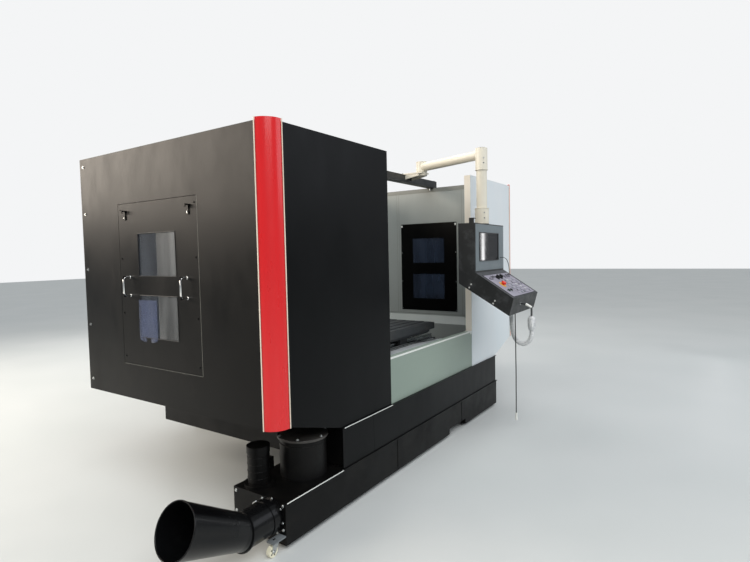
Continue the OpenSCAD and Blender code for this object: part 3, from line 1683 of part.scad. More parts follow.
show("hand_unit_cable") hand_unit_cable();
show("data_cable") data_cable();
show("data_plug") data_plug();
show("cabinet_door") cabinet_door();
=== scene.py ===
import bpy, bmesh, json
from itertools import product
from math import sin, cos, atan2, radians, pi, tau
from mathutils import Vector, Matrix


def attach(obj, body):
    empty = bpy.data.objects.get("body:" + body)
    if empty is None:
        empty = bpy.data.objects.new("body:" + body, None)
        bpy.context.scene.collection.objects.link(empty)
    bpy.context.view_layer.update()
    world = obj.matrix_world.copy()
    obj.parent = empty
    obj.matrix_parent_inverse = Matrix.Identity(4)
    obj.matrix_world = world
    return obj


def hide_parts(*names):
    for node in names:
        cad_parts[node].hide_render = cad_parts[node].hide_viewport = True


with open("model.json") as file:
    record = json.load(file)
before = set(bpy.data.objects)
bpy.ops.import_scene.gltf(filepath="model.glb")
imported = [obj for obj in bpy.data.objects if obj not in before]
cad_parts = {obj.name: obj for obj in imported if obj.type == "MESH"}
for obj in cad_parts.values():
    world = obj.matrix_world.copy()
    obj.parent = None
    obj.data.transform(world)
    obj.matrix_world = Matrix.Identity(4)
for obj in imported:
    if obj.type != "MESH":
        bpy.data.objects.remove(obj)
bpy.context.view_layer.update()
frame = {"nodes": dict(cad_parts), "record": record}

# Metres everywhere. at() takes the machine's own measure: x across from its middle, y back
# from the front panels, z up from the floor.
MID = 1.35


def at(x, y, z):
    return Vector((x, y - MID, z))


def corners(node):
    """The lowest and the highest corner of a CAD node's box, in the machine's own measure."""
    obj = frame["nodes"][node]
    pts = [obj.matrix_world @ v.co for v in obj.data.vertices]
    return [Vector([pick(p[i] for p in pts) for i in range(3)]) + Vector((0, MID, 0)) for pick in (min, max)]


def middle(node):
    lo, hi = corners(node)
    return (lo + hi) / 2


# Faces and edges of the solids that the small pieces stand on
SIDE_X, BACK_Y, PANEL_TOP = corners("side_panel_right")[1]
OPEN_X, PANEL_X = (c.x for c in corners("front_panel_right"))
(_, _, STRIP_FOOT), (_, STRIP_BACK, STRIP_TOP) = corners("corner_strips")
SILL_TOP = corners("apron")[1].z
WALL_X = corners("inner_wall_right")[0].x
REAR_WALL_Y = corners("rear_wall")[0].y
BEAM_Y, BEAM_TOP = middle("roof_beam").y, corners("roof_beam")[1].z
(TANK_END, _, _), (_, TANK_BACK, _) = corners("coolant_tank")
CABINET_TOP = corners("electrical_cabinet")[1].z
TABLE_X = corners("table")[1].x
AXIS_Y = middle("spindle").y
# The spout's axis where it leaves the tank, and the upright axes of the boom's drop tube and pivot
SPOUT_Y, SPOUT_Z = 0.112, 0.165
DROP, PIVOT = (0.51, -0.18), (0.76, 0.53)
BOTH = (-1, 1)


def rgb(text):
    """A colour written as sRGB hex, in the linear values that the shaders take."""
    v = [int(text[i:i + 2], 16) / 255 for i in (1, 3, 5)]
    return tuple(c / 12.92 if c < 0.04045 else ((c + 0.055) / 1.055) ** 2.4 for c in v) + (1.0,)


def put(name, data):
    """A new object in the scene."""
    o = bpy.data.objects.new(name, data)
    bpy.context.scene.collection.objects.link(o)
    return o


def place_camera():
    """The camera, solved from the photograph's straight edges."""
    yaw, pitch, roll = radians(34.084), radians(-3.04), radians(-1.179)
    ahead0, right0, up0 = Vector((cos(yaw), sin(yaw), 0)), Vector((sin(yaw), -cos(yaw), 0)), Vector((0, 0, 1))
    ahead = ahead0 * cos(pitch) + up0 * sin(pitch)
    up = up0 * cos(pitch) - ahead0 * sin(pitch)
    right = right0 * cos(roll) + up * sin(roll)
    top = up * cos(roll) - right0 * sin(roll)
    data = bpy.data.cameras.new("camera")
    data.sensor_width, data.lens = 36, 24.72
    cam = put("camera", data)
    m = Matrix((right, top, -ahead)).transposed().to_4x4()
    m.translation = at(-3.64, -1.88, 1.55)
    cam.matrix_world = m
    bpy.context.scene.camera = cam


place_camera()


# Materials
def add(tree, kind, inputs=None, **props):
    """A shader node with its properties set and its inputs linked or given a value."""
    n = tree.nodes.new("ShaderNode" + kind)
    for k, v in props.items():
        setattr(n, k, v)
    for k, v in (inputs or {}).items():
        if isinstance(v, bpy.types.NodeSocket):
            tree.links.new(v, n.inputs[k])
        else:
            n.inputs[k].default_value = v
    return n


def coords(tree, stretch=(1, 1, 1)):
    """Object coordinates, stretched along the axes."""
    co = add(tree, "TexCoord").outputs["Object"]
    return add(tree, "Mapping", {"Vector": co, "Scale": stretch}).outputs["Vector"]


def noise(tree, vec, scale, detail=4.0, rough=0.55, low=0.0, high=1.0, start=0.3, end=0.7):
    """Noise spread from low to high."""
    n = add(tree, "TexNoise", {"Vector": vec, "Scale": scale, "Detail": detail, "Roughness": rough})
    return add(tree, "MapRange", {"Value": n.outputs["Fac"], "From Min": start, "From Max": end,
                                  "To Min": low, "To Max": high}).outputs["Result"]


def blend(tree, fac, a, b):
    """Two colours mixed by a factor."""
    return add(tree, "Mix", {0: fac, 6: a, 7: b}, data_type="RGBA").outputs[2]


M = {}


def start(slot, name):
    """A new material for a slot: its node tree and its surface shader."""
    m = M[slot] = bpy.data.materials.new(name)
    m.use_nodes = True
    return m.node_tree, m.node_tree.nodes["Principled BSDF"]


def paint(slot, name, base, other, rough, dust_and_sheen=None, metal=0.0, patch=1.6, grain=350.0, bump=0.1,
          streak=(1, 1, 1), coat=0.0, level=0.5, depth=0.0004):
    """A surface whose colour wanders from base to other, with dust in patches and a fine grain; on the red
    strips the patches are pale vertical streaks of painted highlight.
    """
    t, s = start(slot, name)
    vec, long = coords(t), coords(t, streak)
    colour = blend(t, noise(t, long, patch), rgb(base), rgb(other))
    if dust_and_sheen:
        tint, amount = dust_and_sheen
        # Patches of dust; on the red strips these are pale streaks of painted highlight
        mask = noise(t, long, patch * 2.7, 8.0, 0.65, 0.0, amount, 0.5, 0.78)
        colour = blend(t, mask, colour, rgb(tint))
    t.links.new(colour, s.inputs["Base Color"])
    t.links.new(noise(t, long, patch * 4, 5.0, 0.6, *rough), s.inputs["Roughness"])
    s.inputs["Metallic"].default_value = metal
    s.inputs["Coat Weight"].default_value = coat
    s.inputs["Coat Roughness"].default_value = 0.12
    s.inputs["Specular IOR Level"].default_value = level
    if bump:
        h = add(t, "TexNoise", {"Vector": vec, "Scale": grain, "Detail": 3.0})
        b = add(t, "Bump", {"Height": h.outputs["Fac"], "Strength": bump, "Distance": depth})
        t.links.new(b.outputs["Normal"], s.inputs["Normal"])


# Gloss black powder coat of the side panels, with wiped dust
paint("black_paint", "black_powder_coat", "#030303", "#060606", (0.3, 0.42), ("#2c2b29", 0.07),
      streak=(1, 1, 0.45), grain=420, level=0.12)
# Cleaner black powder coat of the left front panel and skirt
paint("front_black", "black_powder_coat_clean", "#040506", "#08090a", (0.28, 0.4), ("#23282b", 0.06),
      streak=(1, 1, 0.4), bump=0.08, grain=420, level=0.12)
# Black enamel on the tank, dull where it is dusty
paint("tank_black", "black_enamel", "#050505", "#0b0b0b", (0.3, 0.5), ("#4a463f", 0.1), level=0.14)
# Gloss black enamel of the spout
paint("spout_black", "gloss_black_enamel", "#060607", "#0c0d0e", (0.18, 0.3), ("#4a4c4b", 0.08), bump=0.05,
      coat=0.08, level=0.2)
# Red gloss lacquer of the corner strips, with pale pink vertical streaks painted as a highlight
paint("red_paint", "red_gloss_lacquer", "#cb0c12", "#d61218", (0.24, 0.34), ("#e26060", 0.03),
      streak=(1, 1, 0.2), bump=0.03, coat=0.35)
# Grey seams and rails of the liner
paint("seam_grey", "grey_seam_paint", "#6f716b", "#80817a", (0.4, 0.6), ("#4f504b", 0.2), bump=0.08)
# Pale moulded key caps
paint("key_cap", "pale_key_caps", "#a5a2ae", "#b3b0bb", (0.4, 0.55), bump=0.04, patch=20)
# Cream rubber edging of the corner strips
paint("trim", "cream_rubber_edging", "#e6dccb", "#d3c6b4", (0.5, 0.65))
# Light grey semi-gloss liner paint
paint("liner_paint", "grey_liner_paint", "#878c88", "#989c98", (0.3, 0.5), ("#6d706c", 0.15),
      streak=(1, 1, 0.3), bump=0.08)
# White semi-gloss panel paint
paint("white_paint", "white_panel_paint", "#d6dadc", "#cfd8dc", (0.28, 0.42), ("#a9b3b4", 0.12),
      streak=(1, 1, 0.4), bump=0.06)
# Warm white film on the fold of the right panel
paint("jamb_film", "warm_white_film", "#f0e9dc", "#e6ddcd", (0.4, 0.55), bump=0.05)
# Grey-green paint of the apron
paint("zinc_sheet", "grey_green_paint", "#7b8a80", "#8a988d", (0.32, 0.48), ("#a7aca2", 0.15),
      streak=(0.4, 1, 1), bump=0.06)
# White edge film on the sill, also used for the painted highlights on the skirt's top edge and the tank's rim
paint("edge_white", "white_edge_film_and_highlight", "#dfe1dd", "#c9ccc8", (0.4, 0.6), ("#8b8c86", 0.2))
# Cream enamel of the boom
paint("cream_paint", "cream_enamel", "#cdc7b6", "#d9d4c5", (0.35, 0.5), ("#a39b86", 0.2), streak=(1, 1, 0.5),
      bump=0.08)
# Grey paint of the magazine and gearbox
paint("grey_paint", "grey_machine_paint", "#868b88", "#969b98", (0.35, 0.5), ("#5c605d", 0.2))
# Dark enamel over cast iron, with its orange-peel skin
paint("dark_casting", "enamel_on_cast_iron", "#26282a", "#34373a", (0.4, 0.62), ("#6d6a62", 0.2), bump=0.35,
      grain=160, depth=0.001)
paint("head_paint", "enamel_on_cast_head", "#3a3e42", "#474c50", (0.38, 0.55), ("#76736b", 0.15), bump=0.3,
      grain=160, depth=0.001)
# Dark grey paint of the roof beam
paint("beam_paint", "dark_grey_paint", "#141618", "#1c1f21", (0.35, 0.5), ("#777570", 0.2), bump=0.08)
# Ground steel of rails, screws and arm
paint("ground_steel", "ground_steel", "#b4b8ba", "#c8cbcc", (0.16, 0.3), ("#6e6a60", 0.1), metal=1.0,
      streak=(1, 6, 6), bump=0.08, grain=260)
# Bright rolled sheet of the way covers
paint("plate_steel", "rolled_steel_sheet", "#c3cace", "#d6dbdd", (0.3, 0.48), ("#77756d", 0.15), metal=0.55,
      streak=(8, 1, 1), bump=0.06, grain=200)
# Grey paint on the levelling feet, chipped and oily
paint("foot_steel", "grey_foot_paint", "#5f6467", "#747a7d", (0.35, 0.6), ("#3a352d", 0.4), bump=0.2)
# Matt black motor paint
paint("motor_paint", "matt_black_motor_paint", "#151617", "#1f2021", (0.45, 0.6), ("#55534e", 0.18), bump=0.25,
      grain=240, depth=0.0008)
# Worn steel of the auger
paint("auger_steel", "worn_auger_steel", "#7c7e7c", "#949694", (0.3, 0.5), ("#5a4a38", 0.5), metal=0.9,
      bump=0.2)
# Dark paint of the filter pot
paint("pot_paint", "dark_pot_paint", "#0c0c0c", "#131313", (0.35, 0.55), ("#4d4b46", 0.12), bump=0.15,
      level=0.15)
# Bare lid of the filter pot
paint("lid_steel", "dull_lid_paint", "#33312f", "#3d3b38", (0.35, 0.5), ("#6b665d", 0.3))
# Light grey textured cabinet paint
paint("cabinet_paint", "textured_cabinet_paint", "#a3a6a1", "#afb1ac", (0.42, 0.55), ("#8f918b", 0.15),
      bump=0.4, grain=520, depth=0.0006)
# Dark grey textured paint of the pendant, smudged
paint("pendant_paint", "textured_pendant_paint", "#161717", "#222323", (0.42, 0.6), ("#77787a", 0.24), patch=4,
      bump=0.3, grain=900, depth=0.0004)
# Printed grey front sheet of the pendant
paint("face_sheet", "printed_front_sheet", "#626c70", "#6c767a", (0.4, 0.52), bump=0.06, patch=6)
# Grey plate round the keys
paint("slope_plate", "grey_slope_plate", "#3c3e40", "#48494c", (0.42, 0.55), ("#7d7e80", 0.15), patch=6,
      bump=0.15, grain=900)
# Dark display glass
paint("screen_glass", "dark_display_glass", "#020202", "#040405", (0.03, 0.06), bump=0.0, level=0.22)
# Pale key sheet
paint("key_sheet", "grey_lilac_key_sheet", "#8b8894", "#9995a1", (0.45, 0.6), bump=0.05, patch=7)
# Moulded plastics of the buttons, knobs and plates
paint("red_plastic", "orange_red_moulded_plastic", "#d8301c", "#e03a24", (0.22, 0.32), patch=20, bump=0.03)
paint("yellow_plastic", "yellow_moulded_plastic", "#e3a41b", "#eab32c", (0.3, 0.42), patch=20, bump=0.03)
paint("black_plastic", "black_moulded_plastic", "#101112", "#191a1b", (0.35, 0.5), patch=20, grain=800)
paint("green_plastic", "dark_green_moulded_plastic", "#0c2f29", "#113a33", (0.25, 0.35), patch=20, bump=0.03)
# Pale polyurethane of the caster wheels
paint("wheel_plastic", "pale_polyurethane", "#d8d3b9", "#e6e2cc", (0.35, 0.5), ("#7a766a", 0.35), patch=12)
# Zinc plated steel of the casters, clamps and screws
paint("caster_steel", "zinc_plated_steel", "#b2b5b4", "#c3c6c6", (0.2, 0.36), ("#77746a", 0.25), metal=1.0,
      patch=14, bump=0.08)
# Polished tube of the pull handles
paint("polished", "polished_steel_tube", "#e2e3e2", "#f0f0ef", (0.12, 0.22), metal=1.0, patch=10, bump=0.02)
# Black rubber of seals, wipers and cable sheaths
paint("cord_black", "black_rubber", "#121314", "#1b1c1d", (0.5, 0.7), ("#5a5852", 0.2), patch=8, bump=0.2,
      grain=600)
# Pale plastic of plugs and marks
paint("plug_white", "pale_moulded_plug", "#d9d9d3", "#e4e4df", (0.35, 0.5), patch=20, bump=0.05)
# Blue and orange moulded links of the coolant hoses
paint("link_blue", "blue_moulded_links", "#2458a8", "#2f66b8", (0.3, 0.45), patch=20, bump=0.05)
paint("link_orange", "orange_moulded_links", "#d9701c", "#e27f2c", (0.3, 0.45), patch=20, bump=0.05)


def film(slot, name):
    """White film wound over the hand unit and its cable, creased and a little shiny, and greyer in the valleys
    of its folds as painted shade in the creases.
    """
    t, s = start(slot, name)
    vec = coords(t)
    cells = add(t, "TexVoronoi", {"Vector": vec, "Scale": 55.0}, feature="DISTANCE_TO_EDGE")
    folds = noise(t, coords(t, (1, 1, 2.5)), 38.0, 6.0, 0.7)
    # Greyer where the folds sink: painted shade in the creases, taken from the bump's own heights
    colour = blend(t, folds, rgb("#b9bcc0"), rgb("#f1f1ee"))
    t.links.new(blend(t, noise(t, vec, 24.0, 3.0, 0.5, 0.0, 0.35, 0.55, 0.7), colour, rgb("#7d8288")),
                s.inputs["Base Color"])
    s.inputs["Roughness"].default_value = 0.28
    b1 = add(t, "Bump", {"Height": cells.outputs["Distance"], "Strength": 0.5, "Distance": 0.004})
    b2 = add(t, "Bump", {"Height": folds, "Strength": 0.7, "Distance": 0.004, "Normal": b1.outputs["Normal"]})
    t.links.new(b2.outputs["Normal"], s.inputs["Normal"])


film("wrap_white", "white_stretch_film")


def pane(slot, name, tint, haze, veil_tint):
    """Laminated window glass, smeared with the haze of its protective film."""
    t, s = start(slot, name)
    s.inputs["Base Color"].default_value = rgb(tint)
    s.inputs["Roughness"].default_value = 0.08
    s.inputs["Transmission Weight"].default_value = 1.0
    s.inputs["IOR"].default_value = 1.2
    s.inputs["Specular IOR Level"].default_value = 0.5
    smear = noise(t, coords(t, (2.2, 2.2, 0.35)), 2.4, 3.0, 0.5, haze * 0.35, haze, 0.35, 0.7)
    veil = add(t, "BsdfPrincipled", {"Base Color": rgb(veil_tint), "Roughness": 0.4})
    mix = add(t, "MixShader", {0: smear, 1: s.outputs["BSDF"], 2: veil.outputs["BSDF"]})
    t.links.new(mix.outputs["Shader"], t.nodes["Material Output"].inputs["Surface"])


pane("window_pane", "filmed_window_glass", "#cdd6de", 0.12, "#8f98a6")
pane("inner_pane", "slate_window_glass", "#222b38", 0.45, "#434e62")
# Thin protective films left on the hatch windows
pane("pale_film", "pale_protective_film", "#eef0f2", 0.5, "#979b9e")
pane("blue_film", "bluish_protective_film", "#e6eaf5", 0.26, "#69759a")

FINISH = {s["node"]: s["material_slot"] for s in frame["record"]["subparts"]}
SPECIAL = {"front_panel_left": "front_black", "front_skirt": "front_black", "coolant_tank": "tank_black",
           "discharge_spout": "spout_black", "inner_windows": "inner_pane", "chip_pan": "tank_black"}
for name, obj in frame["nodes"].items():
    obj.data.materials.clear()
    obj.data.materials.append(M[SPECIAL.get(name, FINISH[name])])


# Building pieces
ZINC, BLACK = "caster_steel", "black_plastic"


def angles(n, start=0.0):
    """n even steps round a full turn."""
    return [i * tau / n + start for i in range(n)]


# The two axes in which a circle lies: level, facing the front, facing the side
LEVEL, FACING, SIDEWAYS = (0, 1), (0, 2), (1, 2)


def circle(centre, r, n, plane=LEVEL, start=0.0):
    """n points evenly round a centre."""
    pts = []
    for a in angles(n, start):
        p = Vector(centre)
        p[plane[0]] += r * cos(a)
        p[plane[1]] += r * sin(a)
        pts.append(p)
    return pts


def rect(x, y, w, h):
    """A flat outline from its lower left corner, its width and its height."""
    return [(x, y), (x + w, y), (x + w, y + h), (x, y + h)]


def disc(x, y, r, n=28):
    """A round flat outline."""
    return [(x + r * cos(a), y + r * sin(a)) for a in angles(n)]


def border(x0, y0, x1, y1, w):
    """The four bars of width w round a rectangle: lower, upper, left and right."""
    wide, high = x1 - x0, y1 - y0
    return [rect(x0 - w, y0 - w, wide + 2 * w, w), rect(x0 - w, y1, wide + 2 * w, w), rect(x0 - w, y0, w, high),
            rect(x1, y0, w, high)]


class Shape:
    """Boxes, rods, tubes and plates gathered in one mesh, with a material for each."""

    def __init__(self):
        self.bm, self.mats = bmesh.new(), []

    def _take(self, faces, mat):
        if mat not in self.mats:
            self.mats.append(mat)
        for f in faces:
            f.material_index = self.mats.index(mat)

    def loft(self, rings, mat, closed=False):
        """Skins rings of points; the first and last are capped unless closed."""
        vs = [[self.bm.verts.new(p) for p in r] for r in rings]
        n, faces = len(rings[0]), []
        for a, b in zip(vs, vs[1:] + ([vs[0]] if closed else [])):
            faces += [self.bm.faces.new((a[i], a[(i + 1) % n], b[(i + 1) % n], b[i])) for i in range(n)]
        if not closed:
            faces += [self.bm.faces.new(vs[0][::-1]), self.bm.faces.new(vs[-1])]
        self._take(faces, mat)
        return self

    def box(self, lo, hi, mat):
        """A block between two corners in the machine's own measure."""
        (x0, y0, z0), (x1, y1, z1) = at(*lo), at(*hi)
        return self.loft([[(x, y, z) for x, y in rect(x0, y0, x1 - x0, y1 - y0)] for z in (z0, z1)], mat)

    def plate(self, outline, z0, z1, mat, move=Matrix()):
        """A flat outline between two heights, carried by a matrix."""
        return self.loft([[move @ Vector((x, y, z)) for x, y in outline] for z in (z0, z1)], mat)

    def rod(self, a, b, r, mat, n=20, r2=None):
        """A round bar from a to b, tapered if it has a second radius."""
        w = (b - a).normalized()
        u = w.orthogonal().normalized()
        v = w.cross(u)
        rings = [[p + q * (cos(t) * u + sin(t) * v) for t in angles(n)]
                 for p, q in ((a, r), (b, r if r2 is None else r2))]
        return self.loft(rings, mat)

    def tube(self, pts, r, mat, n=12, closed=False):
        """A round section swept along points, its radius one number or one for each point."""
        pts = [Vector(p) for p in pts]
        rs = r if isinstance(r, (list, tuple)) else [r] * len(pts)
        u = (pts[1] - pts[0]).orthogonal().normalized()
        rings = []
        for i, p in enumerate(pts):
            a = pts[i - 1] if closed else pts[max(i - 1, 0)]
            w = (pts[(i + 1) % len(pts) if closed else min(i + 1, len(pts) - 1)] - a).normalized()
            u = (u - u.dot(w) * w).normalized()
            v = w.cross(u)
            rings.append([p + rs[i] * (cos(t) * u + sin(t) * v) for t in angles(n)])
        return self.loft(rings, mat, closed)

    def hoop(self, centre, r, thick, mat, n, sides=8, plane=LEVEL):
        """A closed wire of radius thick, laid in a circle of radius r."""
        return self.tube(circle(centre, r, n, plane), thick, mat, sides, closed=True)

    def bolt(self, p, d, r, mat=ZINC, h=None):
        """A bolt head with its washer, standing on a face at p along d."""
        d = Vector(d)
        h = h or r * 0.8
        self.rod(p, p + d * r * 0.22, r * 1.5, mat, 20)
        self.rod(p + d * r * 0.22, p + d * (r * 0.22 + h), r, mat, 6)

    def bolts(self, xs, ys, zs, d, r, mat=ZINC, h=None):
        """A bolt at each crossing of the xs, ys and zs."""
        for p in product(xs, ys, zs):
            self.bolt(at(*p), d, r, mat, h)

    def done(self, name, body, slot, bevel=0.0, smooth=35):
        """The mesh as an object that rides on a body."""
        me = bpy.data.meshes.new(name)
        bmesh.ops.recalc_face_normals(self.bm, faces=self.bm.faces)
        self.bm.to_mesh(me)
        self.bm.free()
        for m in self.mats:
            me.materials.append(M[m])
        o = put(name, me)
        for p in me.polygons:
            p.use_smooth = True
        me.set_sharp_from_angle(angle=radians(smooth))
        if bevel:
            b = o.modifiers.new("edges", "BEVEL")
            b.width, b.segments, b.limit_method, b.angle_limit = bevel, 2, "ANGLE", radians(40)
            b.use_clamp_overlap = True
        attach(o, body)
        return o


def smooth_path(pts, steps=6):
    """Catmull-Rom points through pts."""
    p = [Vector(q) for q in pts]
    p = [2 * p[0] - p[1]] + p + [2 * p[-1] - p[-2]]
    out = []
    for i in range(1, len(p) - 2):
        for k in range(steps):
            t = k / steps
            a, b, c, d = p[i - 1:i + 3]
            out.append(0.5 * (2 * b + (c - a) * t + (2 * a - 5 * b + 4 * c - d) * t * t
                              + (3 * b - a - 3 * c + d) * t ** 3))
    return out + [p[-2]]


# The pendant's own measure: x across, y back, round the drop tube's axis
TURN = Matrix.Translation(at(*DROP, 0)) @ Matrix.Rotation(radians(2), 4, "Z")
PEN_LEFT, PEN_RIGHT, FACE_Y = -0.385, 0.3, -0.087


def pen(x, y, z):
    return TURN @ Vector((x, y, z))


# The key slope's own measure: x across, y up the slope, z out of it
SLOPE = TURN @ Matrix.Translation((0, -0.385, 1.19)) @ Matrix.Rotation(atan2(0.195, 0.3), 4, "X")


def cord(name, route, r, mat, sides, with_pieces, replaced):
    """A free cord along points in millimetres of the pendant's measure."""
    wound = mat == "wrap_white"
    pts = smooth_path([pen(x / 1000, y / 1000, z / 1000) for x, y, z in route], 6 if wound else 3)
    # Overlapping turns of the film, each a little step in the thickness
    swell = [r + 0.0028 * (i * 0.23 % 1 - 0.5) + 0.0009 * sin(i * 2.3) for i in range(len(pts))]
    o = Shape().tube(pts, swell if wound else r, mat, sides).done(name, "pendant", mat)
    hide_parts(replaced)


def hand_bundle():
    """The hand unit, wound in film: gathered at its hook, full in the middle, drawn in round the cable."""
    x0, y0, top, tall = 0.262, -0.343, 0.985, 0.125
    half_x, half_y, n = 0.042, 0.031, 28
    # Share of the height from the top, and how full the bundle is there
    full = ((0, 0.4), (0.05, 0.72), (0.14, 0.96), (0.3, 1.0), (0.5, 0.97), (0.7, 1.0), (0.84, 0.9),
            (0.94, 0.74), (1, 0.6))
    rings = []
    for t, f in full:
        ring = []
        for a in angles(n):
            crease = 1 + 0.05 * sin(5 * a + 11 * t) + 0.04 * sin(9 * a - 17 * t) - 0.06
            c, d = cos(a), sin(a)
            x = half_x * f * crease * abs(c) ** 0.75 * (1 if c > 0 else -1)
            y = half_y * f * crease * abs(d) ** 0.75 * (1 if d > 0 else -1)
            ring.append(pen(x0 + x, y0 + y, top - tall * t))
        rings.append(ring)
    s = Shape().loft(rings, "wrap_white")
    # Turns of the film wound round the bundle
    for k, t in enumerate((0.2, 0.38, 0.56, 0.74)):
        z = top - tall * t
        s.tube([pen(x0 + 0.0405 * cos(a), y0 + 0.0302 * sin(a), z + 0.006 * sin(a + k)) for a in angles(n)],
               0.0011, "wrap_white", 6, closed=True)
    o = s.done("hand_bundle", "pendant", "wrap_white", smooth=60)
    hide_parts("hand_unit")
    return o


def cords():
    """The hand unit's wrapped cable, the thin data cable and the face's lead, where their solids lie."""
    cord("hand_cable", [
        (262, -164, 1130), (262, -164, 1090), (262, -165, 1040), (262, -166, 980), (262, -168, 920),
        (262, -173, 860), (262, -186, 805), (262, -211, 762), (262, -248, 738), (262, -290, 740),
        (262, -322, 765), (262, -338, 800), (262, -343, 832), (262, -343, 860)],
        0.0185, "wrap_white", 20, [hand_bundle()], "hand_unit_cable")
    cord("data_lead", [
        (214, -214, 1100), (214, -214, 1040), (215, -214, 960), (217, -215, 860), (219, -216, 760),
        (220, -216, 660), (220, -217, 560), (219, -218, 460), (217, -218, 360), (215, -219, 260),
        (214, -219, 190), (214, -219, 130)],
        0.0045, "cord_black", 10, ["data_plug"], "data_cable")
    cord("face_lead", [
        (208, -87, 1494), (208, -92, 1494), (211, -104, 1495), (220, -118, 1492), (234, -131, 1481),
        (250, -138, 1462), (265, -141, 1438), (276, -142, 1414), (284, -142, 1388), (286, -142, 1366),
        (286, -142, 1354)],
        0.0025, "cord_black", 10, (), "data_cable")
    s = Shape()
    # Tapered boots with four ribs, where the two cables leave the pendant
    for top, r, r2, tall in ((pen(0.262, -0.164, 1.136), 0.0235, 0.02, 0.04),
                             (pen(0.214, -0.214, 1.103), 0.0088, 0.0052, 0.035)):
        s.rod(top, top - Vector((0, 0, tall)), r, "cord_black", 20, r2)
        for k in range(4):
            rib = top - Vector((0, 0, 0.006 + k * tall / 5))
            s.rod(rib, rib - Vector((0, 0, 0.003)), r * 1.04 - (r - r2) * k / 5, "cord_black", 20)
    s.done("cable_boots", "pendant", "cord_black")


cords()


def strip_arc(r, steps=16):
    """Points of a corner strip's round front, from the front panel to the side panel, on the right side."""
    a, b = Vector((PANEL_X, 0)), Vector((SIDE_X, STRIP_BACK))
    outer = 0.095
    m, d = (a + b) / 2, (b - a)
    c = d.length / 2
    u = Vector((-d.y, d.x)) / d.length
    centre = m + u * (outer ** 2 - c * c) ** 0.5
    a0, a1 = (atan2((p - centre).y, (p - centre).x) for p in (a, b))
    turn = [a0 + (a1 - a0) * i / steps for i in range(steps + 1)]
    return [centre + r * Vector((cos(t), sin(t))) for t in turn]


def enclosure():
    s = Shape()
    # End caps of the corner strips
    for side in BOTH:
        cap = [(side * p.x, p.y - MID) for p in strip_arc(0.0905)][::side]
        s.plate(cap, STRIP_TOP - 0.007, STRIP_TOP - 0.001, "red_paint")
        s.plate(cap, STRIP_FOOT + 0.001, STRIP_FOOT + 0.006, "red_paint")
    s.done("strip_caps", "machine", "red_paint")
    s = Shape()
    # Edging along the front and the rear edge of each strip
    for side in BOTH:
        for x, y in ((PANEL_X - 0.0025, -0.0035), (SIDE_X + 0.0035, STRIP_BACK + 0.0025)):
            s.rod(at(side * x, y, STRIP_FOOT), at(side * x, y, STRIP_TOP), 0.0032, "trim", 10)
    s.done("strip_trims", "machine", "black_paint")
    s = Shape()
    # Screws of the side panels: along the rear edge, on the roof fold and on the rear fold
    for side in BOTH:
        s.bolts([side * SIDE_X], [BACK_Y - 0.045], (0.72, 1.1, 1.48, 1.86, 2.18), (side, 0, 0), 0.006)
        s.bolts([side * 1.56], (0.3, 0.7, 1.1, 1.5), [PANEL_TOP], (0, 0, 1), 0.006)
        s.bolts([side * x for x in (0.7, 1.0, 1.3, 1.6)], [BACK_Y], (2.16, 0.7), (0, 1, 0), 0.006)
    s.done("panel_screws", "machine", ZINC)


